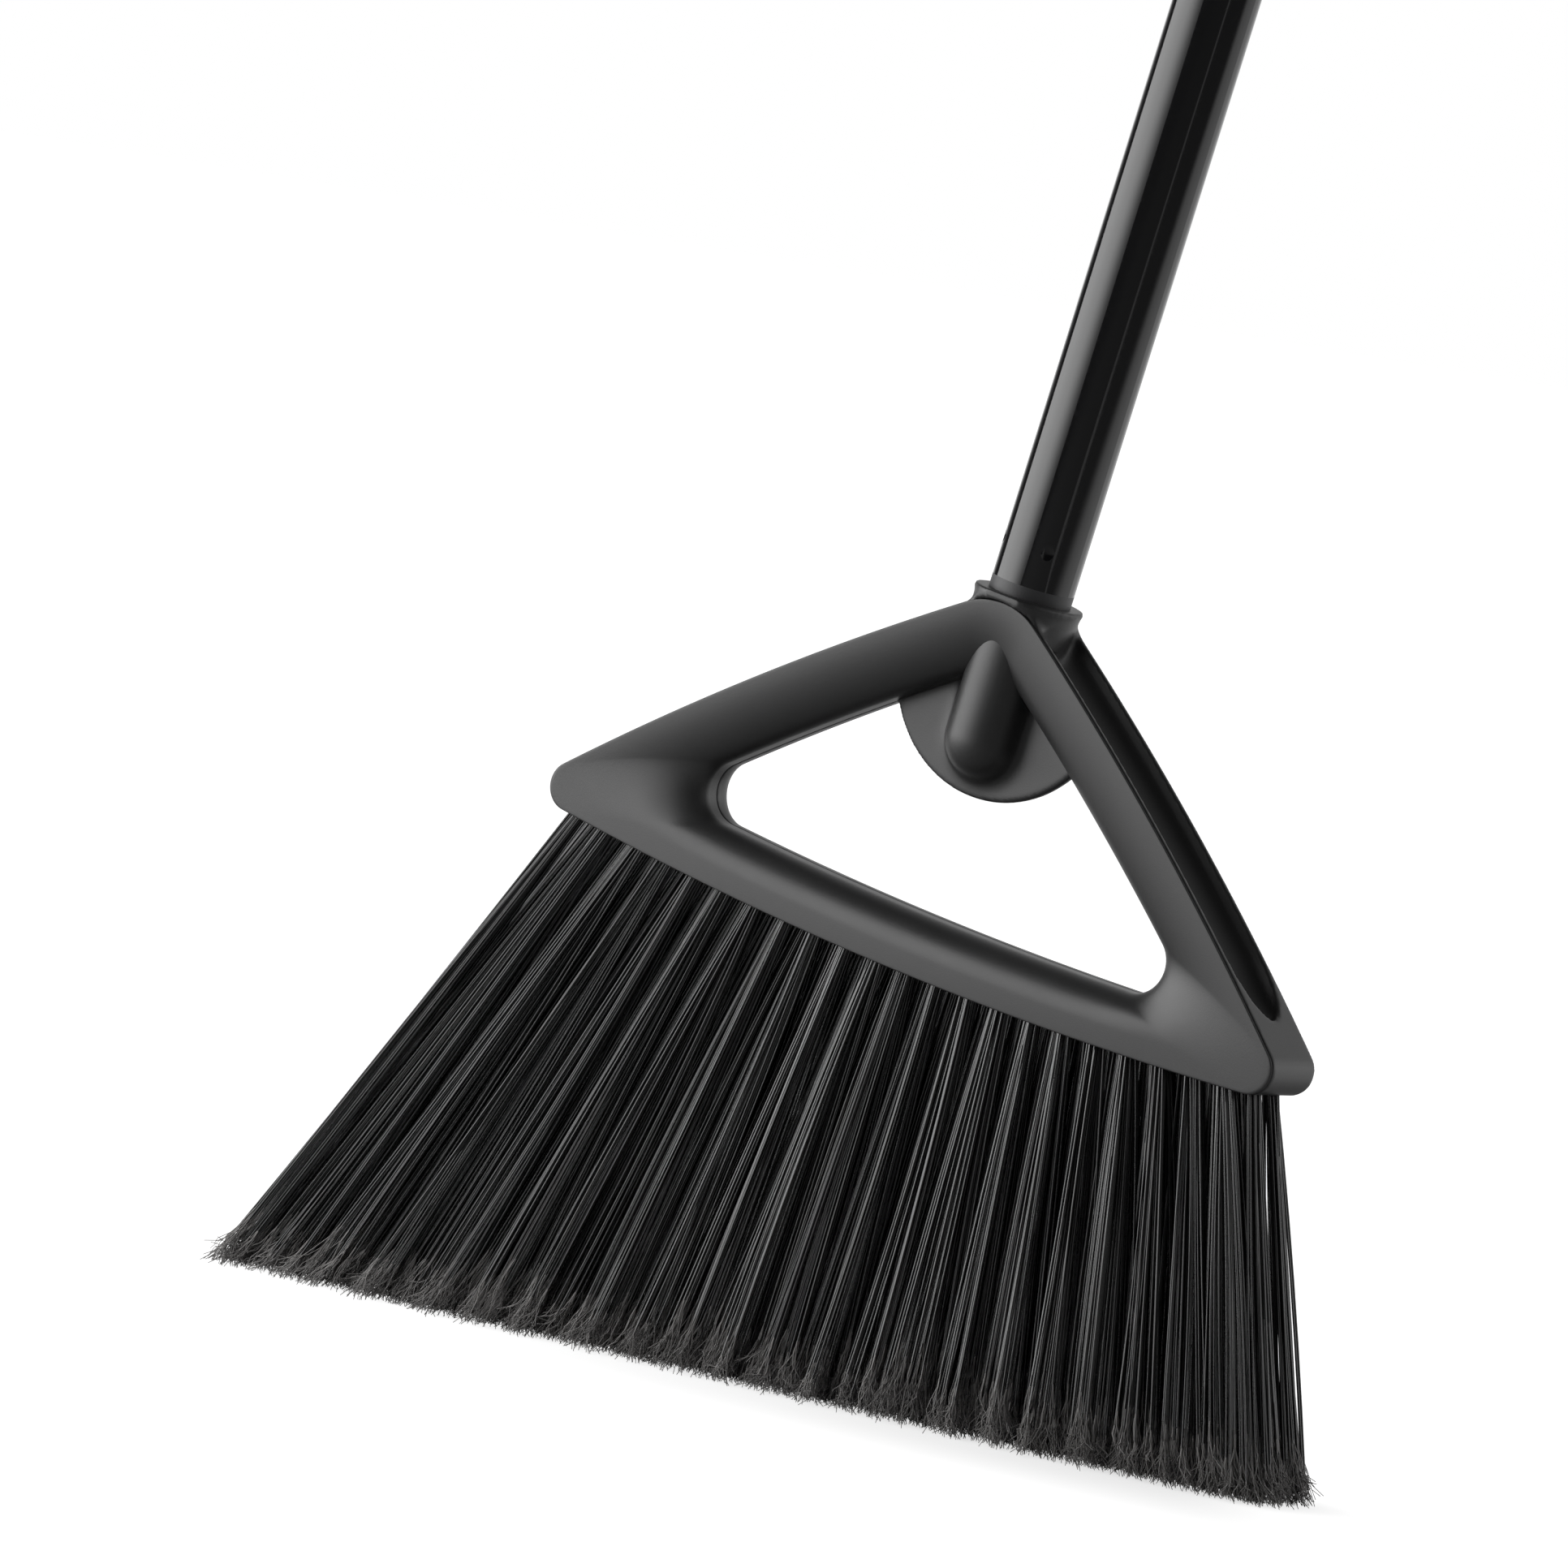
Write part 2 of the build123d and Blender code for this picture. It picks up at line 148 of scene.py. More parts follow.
# Circles that the arms and the lower edge of the head lie on, as centre and radius across and up the head
base_drop = corner_drop + base_bow
base_radius = (corner_reach**2 + base_bow**2) / (2 * base_bow)
base_centre = Vector((0.0, base_radius - base_drop))
arm_run = Vector((corner_reach, -corner_drop - apex_rise))
arm_along = arm_run.normalized()
arm_out = Vector((-arm_along.y, arm_along.x))
arm_radius = (arm_run.length**2 / 4 + arm_bow**2) / (2 * arm_bow)
arm_centre = Vector((0.0, apex_rise)) + arm_run / 2 - arm_out * (arm_radius - arm_bow)

# Bristle field. It is close to the solids', with the same number of tufts in every row.
row_count = 4
row_pitch = 0.0046
row_tufts = 22
tuft_pitch = 0.00996
row_stagger = tuft_pitch / 4  # of each row to the left or right by turns
half_row = tuft_pitch * (row_tufts - 1) / 2
block_thickness = 0.004
block_half_length = 0.1106
block_steps = 48  # along the block's bow
root_sink = 0.25  # depth of the roots in the block over its thickness
depth_splay = 1.35  # less than the solids have, as the tufts' own spread adds to it
depth_spread = 1.3  # spread of a tuft's tips in depth over their spread across
edge_spread = 0.0028  # reach of the brush beyond its outermost tufts
end_squeeze = 0.72  # spread of the outermost tufts over that of the others
squeeze_start = 0.88  # part of the half row at which that squeeze sets in
mean_run = stand_length - base_drop  # length of the middle tufts
golden_turn = math.pi * (3 - math.sqrt(5))

# Forms of filaments and of the hairs that they split into
bundle_share = 0.72  # of the tuft's root, for the places of its bundles
filament_share = 0.3  # of the tuft's root, for the places of a bundle's filaments
floor_clearance = 0.0001
filament_taper = 0.12
hair_taper = 0.3
hair_overlap = 0.006  # part of a filament that its hairs run back over
hair_wave = 0.0014
hair_swing = 6.5  # turn of the wave along a hair, across
hair_sway = 5.5  # turn of the wave along a hair, in depth
sway_share = 3  # turn of the wave's start in depth over its turn across

# How bristles vary from one to the next: a pair holds the limits, and a number is the most
seeds_per_row = 40
hair_seed = 20  # first of a row's seeds that only the split tips use
bundle_reach = (0.85, 1.12)
bundle_turn = 0.25
bundle_splay = (0.55, 1.2)
bundle_bow = 0.0010
bundle_split = (0.8, 1.25)
bundle_shade = (0.0, 0.6)
tuft_lean = 0.012
tuft_clearance = 0.0002
filament_tip = 0.0004
filament_clearance = 0.0003
filament_bow = 0.00022
filament_split = (-0.6, 0.2)
filament_shade = (0.0, 0.4)
hair_fray = 0.0034
hair_lift = 0.007

# Foam sleeve, as its solid has it
foam_radius = 0.0165
foam_bore = 0.0111
foam_length = 0.162
foam_rise = 0.045  # above the joint below it

# Skin of the foam sleeve
foam_soft = 0.0026  # rounding of its rims
foam_sides = 128
foam_rings = 110
foam_rim_steps = 6
foam_dents = ((0.00022, 90), (0.00007, 420))  # depths of its bumps, each with their waves per metre

# Patterns of the finishes, in waves per metre
mark_scale = 60.0
peel_scale = 260.0
scuff_scale = 900.0
streak_scale = 700.0
dust_scale = 240.0
wire_scale = 1500.0
cell_scale = 1300.0
cloud_scale = 90.0
floor_scale = 3.0

# Studio. Directions lie along the floor, and pairs are the limits between which a light or shade fades.
camera_way = Vector((0.545, -0.838))  # towards the camera
right_way = Vector((0.838, 0.545))  # to the camera's right
behind_way = Vector((0.45, 1.0))  # to the middle of the white surround
wall_way = Vector((0.5, 0.866))  # to the far end of the white wall on the right
backdrop_way = Vector((-0.5435, 0.837))  # from the camera to the white behind the broom
behind_edge = (-0.25, 0.45)
overhead_edge = (0.35, 0.95)
overhead_glow = 0.25
wall_edge = (0.6, 0.9)
wall_end = (0.45, 0.8)
backdrop_edge = (0.8, 0.97)
floor_half = 40.0
# Painted shadow of the brush on the floor: where it lies, how it fades and how dark it is
brush_front = 0.018  # reach of the tips in front of the pole's foot
shadow_slant = 0.65
shadow_left = (-0.24, 0.12)
shadow_left_end = 0.1
shadow_right = (0.125, 0.2)
shadow_rear = (0.005, 0.04)
shadow_front = (0.0, 0.10)
shadow_dark = 0.34
lit_aside = (0.12, 0.55)
lit_behind = (-0.15, -0.45)
lit_ahead = (0.05, 0.5)
sensor_width = 36.0  # millimetres
camera_reach = 200.0

# Softboxes: where they stand, and how far their panels reach to left and right
key_aim = Vector((0.0, 0.0, 0.05))  # in the head's frame
key_turn = math.radians(74)  # from the camera, to its left
key_distance = 1.5
key_rise = Vector((0.0, 0.0, 0.5))
key_panel = (-1.9, 1.15)
key_height = 1.4
strip_aim = 0.2  # above the collar, along the pole
strip_turn = math.radians(35)  # about the pole, from the camera
strip_distance = 0.45
strip_panel = (-0.02, 0.02)
strip_height = 1.0
far_fade, far_glow = -0.1, 0.18  # where a panel's +X end starts to fade, over its reach, and to what
near_fade, near_glow = 0.2, 0.62  # the same for its -X end

sections = ("lower", "second", "third", "top")


class Value:
    """An output socket of a node tree. Sums and products of values add Math or Vector Math nodes."""

    def __init__(self, board, socket):
        self.board = board
        self.socket = socket

    def also(self, name):
        """Another output of the same node."""
        return Value(self.board, self.socket.node.outputs[name])

    def __add__(self, other):
        return self.board.combine("ADD", self, other)

    def __radd__(self, other):
        return self.board.combine("ADD", other, self)

    def __sub__(self, other):
        return self.board.combine("SUBTRACT", self, other)

    def __rsub__(self, other):
        return self.board.combine("SUBTRACT", other, self)

    def __mul__(self, other):
        return self.board.combine("MULTIPLY", self, other)

    def __rmul__(self, other):
        return self.board.combine("MULTIPLY", other, self)

    def __truediv__(self, other):
        return self.board.combine("DIVIDE", self, other)

    def __rtruediv__(self, other):
        return self.board.combine("DIVIDE", other, self)

    def __neg__(self):
        return self * -1


class Board:
    """A node tree to write on."""

    def __init__(self, tree):
        self.tree = tree

    def feed(self, socket, item):
        """Gives a socket a value, or a link from another node's output."""
        if isinstance(item, Value):
            self.tree.links.new(item.socket, socket)
        else:
            socket.default_value = item

    def node(self, kind, settings=None, sockets=None, output=0):
        """Adds a node: its settings first, then its sockets by name or number. Returns one of its outputs."""
        made = self.tree.nodes.new(kind)
        for name, setting in (settings or {}).items():
            setattr(made, name, setting)
        for key, item in (sockets or {}).items():
            self.feed(made.inputs[key], item)
        return Value(self, made.outputs[output]) if made.outputs else None

    def combine(self, operation, first, second):
        """Adds the Math or Vector Math node for an operation on two items, of which one may be a number."""
        values = [item for item in (first, second) if isinstance(item, Value)]
        vectors = [item for item in values if item.socket.type == "VECTOR"]
        if not vectors:
            return self.math(operation, first, second)
        if operation == "MULTIPLY" and len(vectors) == 1:
            factor = second if vectors[0] is first else first
            return self.node("ShaderNodeVectorMath", {"operation": "SCALE"}, {0: vectors[0], "Scale": factor})
        return self.node("ShaderNodeVectorMath", {"operation": operation}, {0: first, 1: second})

    def math(self, operation, *items):
        return self.node("ShaderNodeMath", {"operation": operation}, dict(enumerate(items)))

    def diagonal(self, *sides):
        """Length of a line by its lengths along square directions."""
        total = sides[0] * sides[0]
        for side in sides[1:]:
            total = total + side * side
        return self.math("SQRT", total)

    def vector(self, x, y, z):
        return self.node("ShaderNodeCombineXYZ", None, {0: x, 1: y, 2: z})

    def parts(self, vector):
        """The three parts of a vector."""
        x = self.node("ShaderNodeSeparateXYZ", None, {0: vector})
        return x, x.also("Y"), x.also("Z")

    def mix_colour(self, factor, first, second):
        settings = {"data_type": "RGBA", "clamp_factor": True}
        return self.node("ShaderNodeMix", settings, {0: factor, 6: first, 7: second}, output=2)

    def smooth(self, item, low, high, start=0.0, end=1.0, kind="SMOOTHSTEP"):
        """Eases from start to end as an item goes from low to high."""
        sockets = {0: item, 1: low, 2: high, 3: start, 4: end}
        return self.node("ShaderNodeMapRange", {"interpolation_type": kind}, sockets)


# Settings in the sidebar
def length_setting(title, description, default):
    return FloatProperty(name=title, description=description, default=default, unit="LENGTH", precision=5)


def angle_setting(title, description, degrees):
    return FloatProperty(name=title, description=description, default=math.radians(degrees), subtype="ANGLE")


def count_setting(title, description, default):
    return IntProperty(name=title, description=description, default=default, min=1)


def share_setting(title, description, default):
    return FloatProperty(name=title, description=description, default=default, subtype="FACTOR", min=0, max=1)


def light_setting(title, description, default):
    return FloatProperty(name=title, description=description, default=default, min=0)


def colour_setting(title, description, default):
    return FloatVectorProperty(name=title, description=description, default=default, subtype="COLOR",
                               min=0, max=1)


class BroomBristles(bpy.types.PropertyGroup):
    """Sizes of the filaments and of their split tips."""

    bundles: count_setting("Bundles", "Bundles that each tuft falls into", 12)
    filaments: count_setting("Filaments", "Filaments in each bundle", 6)
    thickness: length_setting("Thickness", "Thickness of a filament", 0.00066)
    root_radius: length_setting("Root Radius", "Radius of a tuft at the head", 0.0028)
    tip_radius: length_setting("Tip Radius", "Radius of a tuft at the floor", 0.0078)
    bundle_radius: length_setting("Bundle Radius", "Radius of a bundle at the floor", 0.0021)
    fan: angle_setting("Fan", "Lean of the outermost tufts from the pole's direction", 22.5)
    split_length: length_setting("Split Length", "Length of the split tips", 0.016)
    hairs: count_setting("Hairs", "Hairs that each filament splits into", 4)
    hair_thickness: length_setting("Hair Thickness", "Thickness of a split hair", 0.00029)
    seed: IntProperty(name="Seed", description="Seed of everything random in the bristles", default=11)


class BroomHead(bpy.types.PropertyGroup):
    """Soft forms of the moulded head."""

    crown: length_setting("Crown", "Height that the rises of the front face are shares of", 0.0006)
    bar_roll: length_setting("Bar Roll", "Width over which the bar rolls into the hole", 0.0094)
    arm_roll: length_setting("Arm Roll", "Width over which an arm rolls into the hole", 0.0170)
    corner_pull: share_setting("Corner Pull", "How closely the bar's roll keeps to the hole in a corner", 0.4)
    corner_swell: length_setting("Corner Swell", "Extra rounding of the corners between rim and hole", 0.0015)
    edge_round: length_setting("Edge Round", "Rounding of the cover's outer edge", 0.0004)
    tongue_blend: length_setting("Tongue Blend", "Reach of the blend of the socket into the tongue", 0.0055)
    boss_blend: length_setting("Boss Blend", "Reach of the blend of the boss into the arms", 0.005)
    channel_taper: length_setting("Channel Taper", "Length of the channel's tapered lower end", 0.020)
    channel_end: length_setting("Channel End", "Apex to the channel's lower end, along the arm", 0.1325)
    grain: length_setting("Grain", "Size of the steps that the rear body is meshed in", 0.00072)


class BroomFinishes(bpy.types.PropertyGroup):
    """Colours of the materials."""

    head: colour_setting("Head", "Moulded head", (0.016, 0.016, 0.0163))
    bristle: colour_setting("Bristle", "Filaments", (0.016, 0.016, 0.0165))
    tip: colour_setting("Split Tip", "Frayed ends of the filaments", (0.185, 0.178, 0.174))
    pole: colour_setting("Pole", "Gloss paint of the tubes", (0.0035, 0.0035, 0.004))
    ring: colour_setting("Ring", "Joint rings, plugs and inserts", (0.032, 0.032, 0.034))
    foam: colour_setting("Foam", "Foam sleeve", (0.045, 0.046, 0.049))
    grip: colour_setting("Grip", "Hand grip and hanging cap", (0.028, 0.030, 0.034))
    wire: colour_setting("Wire", "Anchors in the tuft holes", (0.55, 0.54, 0.52))
    floor: colour_setting("Floor", "Studio floor", (0.4, 0.4, 0.4))


class BroomStudio(bpy.types.PropertyGroup):
    """Camera and lamps. The camera's angles are taken in the head's frame."""

    azimuth: angle_setting("Azimuth", "Camera's turn from the head's front towards +X", 31.5)
    elevation: angle_setting("Elevation", "Camera's rise over the plane square to the pole", 8.24)
    roll: angle_setting("Roll", "Camera's turn about its own line of sight", 17.27)
    distance: length_setting("Distance", "Camera to the point it aims at", 2.6648)
    aim: FloatVectorProperty(name="Aim", description="Point the camera aims at, in the head's frame",
                             default=(-0.0334, -0.0339, -0.0639), subtype="XYZ", unit="LENGTH")
    lens: FloatProperty(name="Lens", description="Focal length in millimetres on a 36 mm sensor",
                        default=237.45, unit="CAMERA")
    key: light_setting("Key", "Brightness of the large softbox", 4.4)
    strip: light_setting("Strip", "Brightness of the narrow strip beside the pole", 0.6)
    bounce: light_setting("Bounce", "Brightness of the lit floor beside the broom", 0.75)
    side: light_setting("Side", "Brightness of the white wall on the broom's right", 1.35)
    fill: light_setting("Fill", "Brightness of the studio's dark side", 0.03)
    backdrop: light_setting("Backdrop", "Brightness of the white surround behind the broom", 0.7)


def sizes_of(group):
    """A group's settings by the names shown in the sidebar, which are the geometry trees' input names too."""
    return {group.bl_rna.properties[key].name: getattr(group, key) for key in type(group).__annotations__}


# Materials
def new_finish(name):
    """A new material and the board of its node tree."""
    material = bpy.data.materials.new(name)
    material.use_nodes = True
    return material, Board(material.node_tree)


def set_surface(material, board, sockets):
    """Feeds a material's surface shader by its sockets' names, and returns the material."""
    shader = material.node_tree.nodes["Principled BSDF"]
    for name, item in sockets.items():
        board.feed(shader.inputs[name], item)
    return material


def grain_field(board, scale, detail=3.0, roughness=0.6):
    """Cloudy noise from 0 to 1, fixed to the piece."""
    place = board.node("ShaderNodeTexCoord", output="Object")
    sockets = {"Vector": place, "Scale": scale, "Detail": detail, "Roughness": roughness}
    return board.node("ShaderNodeTexNoise", None, sockets)


def strand_shade(board):
    """The random shade that each filament or hair carries."""
    return board.node("ShaderNodeAttribute", {"attribute_name": "shade"}, output="Fac")


def tinted(board, colour, factor, spread):
    """A colour that varies by a share of itself with a factor from 0 to 1."""
    low = [channel * (1 - spread) for channel in colour]
    high = [channel * (1 + spread) for channel in colour]
    return board.mix_colour(factor, (*low, 1.0), (*high, 1.0))


def bumped(board, height, depth, strength):
    """The direction of a surface that a height from 0 to 1 lifts by a depth."""
    return board.node("ShaderNodeBump", None, {"Strength": strength, "Distance": depth, "Height": height})


def moulded_plastic(name, colour, roughness, grain_size, depth, specular=0.5):
    """Matte moulding with a fine spark-eroded grain and faint handling marks."""
    material, board = new_finish(name)
    grain = grain_field(board, 1 / grain_size)
    marks = grain_field(board, mark_scale, detail=4.0)
    return set_surface(material, board, {
        "Base Color": tinted(board, colour, grain * 0.6 + marks * 0.4, spread=0.22),
        "Roughness": roughness + (grain - 0.5) * 0.14 + (marks - 0.5) * 0.1,
        "Specular IOR Level": specular,
        "Normal": bumped(board, grain, depth, strength=0.35),
    })


def gloss_paint(name, colour):
    """Gloss paint over steel tube, with faint orange peel and dust-fine scuffs."""
    material, board = new_finish(name)
    peel = grain_field(board, peel_scale, detail=1.5)
    scuff = grain_field(board, scuff_scale, detail=4.0, roughness=0.7)
    return set_surface(material, board, {
        "Base Color": tinted(board, colour, scuff, spread=0.3),
        "Roughness": board.smooth(scuff, 0.45, 0.8, start=0.07, end=0.2),
        "Coat Weight": 0.12,
        "Coat Roughness": 0.04,
        "Normal": bumped(board, peel, depth=0.0001, strength=0.08),
    })


def filament_plastic(name, colour):
    """Drawn filament: glossy, each one a little lighter or darker than the next."""
    material, board = new_finish(name)
    shade = strand_shade(board)
    streak = grain_field(board, streak_scale, detail=2.0)
    return set_surface(material, board, {
        "Base Color": tinted(board, colour, shade * 0.8 + streak * 0.2, spread=0.55),
        "Roughness": 0.17 + shade * 0.14 + streak * 0.06,
        "Specular IOR Level": 1.0,
    })


def split_hair(name, colour):
    """Frayed filament ends, dull and greyer than the filaments."""
    material, board = new_finish(name)
    dust = grain_field(board, dust_scale)
    return set_surface(material, board, {
        "Base Color": tinted(board, colour, strand_shade(board) * 0.6 + dust * 0.4, spread=0.6),
        "Roughness": 0.5 + dust * 0.2,
    })


def drawn_wire(name, colour):
    """Bare steel wire with a fine grain."""
    material, board = new_finish(name)
    grain = grain_field(board, wire_scale, detail=2.0)
    return set_surface(material, board, {
        "Base Color": tinted(board, colour, grain, spread=0.15),
        "Roughness": 0.3 + grain * 0.2,
        "Metallic": 1.0,
    })


def cell_foam(name, colour):
    """Closed-cell foam: tiny open cells at the cut skin, painted darker inside as painted shade, and soft
    cloudy tone.
    """
    material, board = new_finish(name)
    place = board.node("ShaderNodeTexCoord", output="Object")
    cells = board.node("ShaderNodeTexVoronoi", None, {"Vector": place, "Scale": cell_scale})
    pits_and_pit_shade = board.smooth(cells, 0.12, 0.5)
    clouds = grain_field(board, cloud_scale, detail=4.0)
    # The pits dent the skin and are also painted darker, as painted shade in them. The clouds are the foam's
    # own tone.
    return set_surface(material, board, {
        "Base Color": tinted(board, colour, pits_and_pit_shade * 0.7 + clouds * 0.3, spread=0.35),
        "Roughness": 0.8 + pits_and_pit_shade * 0.12,
        "Normal": bumped(board, pits_and_pit_shade, depth=0.00025, strength=0.6),
    })


def dress(node, material):
    """Gives a CAD node's object one material."""
    mesh = frame["nodes"][node].data
    mesh.materials.clear()
    mesh.materials.append(material)


# Objects and meshes
def new_object(name, data):
    """An object in the scene for a mesh or a camera."""
    made = bpy.data.objects.new(name, data)
    bpy.context.scene.collection.objects.link(made)
    return made


def ring_piece(name, loops):
    """An object whose surface runs round a closed ring of loops, given as points in the head's frame."""
    shape = bmesh.new()
    loops = [[shape.verts.new(spot) for spot in loop] for loop in loops]
    for low, high in zip(loops, loops[1:] + loops[:1]):
        for corners in zip(low, low[1:] + low[:1], high[1:] + high[:1], high):
            shape.faces.new(corners)
    bmesh.ops.recalc_face_normals(shape, faces=shape.faces)
    bmesh.ops.transform(shape, matrix=head_frame, verts=shape.verts)
    mesh = bpy.data.meshes.new(name)
    shape.to_mesh(mesh)
    shape.free()
    mesh.shade_smooth()
    return new_object(name, mesh)


def flat_panel(name, corners):
    """An object of one face with four corners."""
    mesh = bpy.data.meshes.new(name)
    mesh.from_pydata(corners, [], [(0, 1, 2, 3)])
    return new_object(name, mesh)


# Geometry trees
def new_tree(name, inputs):
    """A geometry tree with named inputs, given as socket kinds. Returns its board and its inputs' values."""
    tree = bpy.data.node_groups.new(name, "GeometryNodeTree")
    tree.interface.new_socket("Geometry", in_out="OUTPUT", socket_type="NodeSocketGeometry")
    for title, kind in inputs.items():
        tree.interface.new_socket(title, in_out="INPUT", socket_type=f"NodeSocket{kind}")
    board = Board(tree)
    source = tree.nodes.new("NodeGroupInput")
    return board, {title: Value(board, source.outputs[title]) for title in inputs}


def close_tree(board, geometry, material):
    """Moves a geometry from the head's frame to the broom's and ends its tree. Returns the tree."""
    sockets = {"Geometry": geometry, "Translation": collar_top, "Rotation": (0.0, lean, 0.0)}
    placed = board.node("GeometryNodeTransform", None, sockets)
    solid = board.node("GeometryNodeRealizeInstances", None, {0: placed})
    finished = board.node("GeometryNodeSetMaterial", None, {"Geometry": solid, "Material": material})
    board.node("NodeGroupOutput", None, {0: finished})
    return board.tree


def new_draws(board, seed, first):
    """A function for random numbers between two limits, by a key. Each use of it takes the next seed."""
    steps = iter(range(first, seeds_per_row))

    def varied(key, low, high):
        sockets = {2: low, 3: high, 7: key, 8: seed + next(steps)}
        return board.node("FunctionNodeRandomValue", {"data_type": "FLOAT"}, sockets, output=1)

    return varied


def grow(name, tree, values):
    """An object made by a geometry tree with its inputs set, turned into a plain mesh."""
    piece = new_object(name, bpy.data.meshes.new(name))
    modifier = piece.modifiers.new("Grow", "NODES")
    modifier.node_group = tree
    for socket in tree.interface.items_tree:
        if socket.in_out == "INPUT" and socket.name in values:
            modifier[socket.identifier] = values[socket.name]
    solved = piece.evaluated_get(bpy.context.evaluated_depsgraph_get())
    mesh = bpy.data.meshes.new_from_object(solved)
    piece.modifiers.clear()
    piece.data = mesh
    mesh.name = name
    mesh.shade_smooth()
    return piece


# Head outline
def crossing(first_centre, first_radius, second_centre, second_radius):
    """The crossing of two circles that lies further to +X."""
    between = second_centre - first_centre
    span = between.length
    along = (first_radius**2 - second_radius**2 + span**2) / (2 * span)
    aside = math.sqrt(first_radius**2 - along**2)
    foot = first_centre + between * (along / span)
    turned = Vector((-between.y, between.x)) * (aside / span)
    return max(foot + turned, foot - turned, key=lambda spot: spot.x)


def corner_spot(inset, rounding):
    """Centre of the rounding of a lower corner, for the outline taken in by an inset."""
    return crossing(arm_centre, arm_radius - inset - rounding,
                    base_centre, base_radius - bar_share * inset - rounding)


def apex_spot(inset, rounding):
    """Centre of the rounding of the apex."""
    reach = arm_radius - inset - rounding
    return Vector((0.0, arm_centre.y + math.sqrt(reach**2 - arm_centre.x**2)))


def clockwise(way):
    """A direction turned clockwise by a quarter turn."""
    return Vector((way.y, -way.x))


def arc_ends(apex, corner):
    """Directions past the end of the apex's arc, and past a corner's arc from the arm and from the bar."""
    top, arm, base = apex - arm_centre, corner - arm_centre, corner - base_centre
    return clockwise(top.normalized()), clockwise(arm.normalized()), -clockwise(base.normalized())


def arc(centre, radius, start, end, steps):
    """Points on a circle from one direction to another, without the last."""
    first = math.atan2(start.y, start.x)
    sweep = (math.atan2(end.y, end.x) - first + math.pi) % math.tau - math.pi
    turns = [first + sweep * step / steps for step in range(steps)]
    return [centre + Vector((math.cos(turn), math.sin(turn))) * radius for turn in turns]


def outline(inset, apex_rounding, corner_rounding):
    """Points around the head's triangle, taken in by an inset, clockwise from the middle of the apex."""
    apex, corner = apex_spot(inset, apex_rounding), corner_spot(inset, corner_rounding)
    top, low = Vector((0.0, 1.0)), Vector((0.0, -1.0))
    base_reach = base_radius - bar_share * inset
    half = arc(apex, apex_rounding, top, apex - arm_centre, outline_steps["apex"])
    half += arc(arm_centre, arm_radius - inset, apex - arm_centre, corner - arm_centre, outline_steps["arm"])
    half += arc(corner, corner_rounding, corner - arm_centre, corner - base_centre, outline_steps["corner"])
    half += arc(base_centre, base_reach, corner - base_centre, low, outline_steps["base"])
    foot = base_centre + low * base_reach
    return half + [foot] + [Vector((-spot.x, spot.y)) for spot in reversed(half[1:])]


def bar_shares():
    """How far each point of the outline belongs to the bar rather than to an arm, from 0 to 1."""
    first = outline_steps["apex"] + outline_steps["arm"]
    half = []
    for step in range(first + outline_steps["corner"] + outline_steps["base"] + 1):
        turned = (step - first) / outline_steps["corner"]
        part = min(1.0, max(0.0, (turned - corner_lead) / (1 - 2 * corner_lead)))
        half.append(0.5 - 0.5 * math.cos(math.pi * part))
    return half + half[-2:0:-1]


def roundings(inset):
    """Roundings of the apex and the corners for the outline taken in by an inset, from rim to hole."""
    part = inset / rim_width
    swell = bpy.context.scene.broom_head.corner_swell * math.sin(math.pi * part)
    corner = corner_round + (hole_round - corner_round) * part + swell
    return apex_round + (hole_round - apex_round) * part, corner


# Front cover
def hole_distance(spot):
    """Distance of a point of the front face from the edge of the hole."""
    place = Vector((abs(spot.x), spot.y))
    corner, apex = corner_spot(rim_width, hole_round), apex_spot(rim_width, hole_round)
    past_apex, past_arm, past_base = arc_ends(apex, corner)
    from_corner, from_apex = place - corner, place - apex
    if from_corner.dot(past_arm) > 0 and from_corner.dot(past_base) > 0:
        return from_corner.length - hole_round
    if from_apex.dot(past_apex) < 0:
        return from_apex.length - hole_round
    from_arm = (place - arm_centre).length - arm_radius + rim_width
    from_base = (place - base_centre).length - base_radius + bar_share * rim_width
    return max(from_arm, from_base)


def face_rim(head):
    """Depth of the front face at its outer edge."""
    return -front_reach + rim_share * head.crown


def crown_depth(head, inset, bar, gap):
    """Depth of the front face, which rises from the rim to a crest and then rolls into the hole."""
    rim = face_rim(head)
    peak = rim - peak_share * head.crown * bar
    roll = head.arm_roll + (head.bar_roll - head.arm_roll) * bar
    across = (rim_width - inset) * (1 + (bar_share - 1) * bar)
    gap = across + (gap - across) * head.corner_pull * bar
    if gap > roll:
        climb = inset - head.edge_round
        return rim + (peak - rim) * math.sin(math.pi / 2 * climb / (climb + gap - roll))
    part = 1 - max(0.0, gap) / roll
    return hole_wall + (peak - hole_wall) * math.sqrt(1 - part * part)


def cover_section(head):
    """Loops of the front cover round from its seam, as insets with depths, or None on the crowned face."""
    rim = face_rim(head)
    edge = rim + head.edge_round * edge_share
    section = [(seam_land, seam_depth), (seam_bevel, seam_depth), (0.0, seam_depth - seam_bevel)]
    for step in range(1, edge_steps + 1):
        turn = math.pi / 2 * step / edge_steps
        section.append((head.edge_round * (1 - math.cos(turn)), edge + (rim - edge) * math.sin(turn)))
    for step in range(1, face_steps + 1):
        part = math.sin(math.pi / 2 * step / face_steps)
        section.append((head.edge_round + (rim_width - head.edge_round) * part, None))
    lip = rim_width - cover_lip
    return section + [(rim_width, wall_loop), (rim_width, -fit_gap), (lip, -fit_gap), (lip, seam_depth)]


def eased(depths):
    """Depths around a loop, each the mean of its neighbours, so that arms and bar flow into one another."""
    count = len(depths)
    shifts = range(-ease_reach, ease_reach + 1)
    return [sum(depths[(step + shift) % count] for shift in shifts) / len(shifts) for step in range(count)]


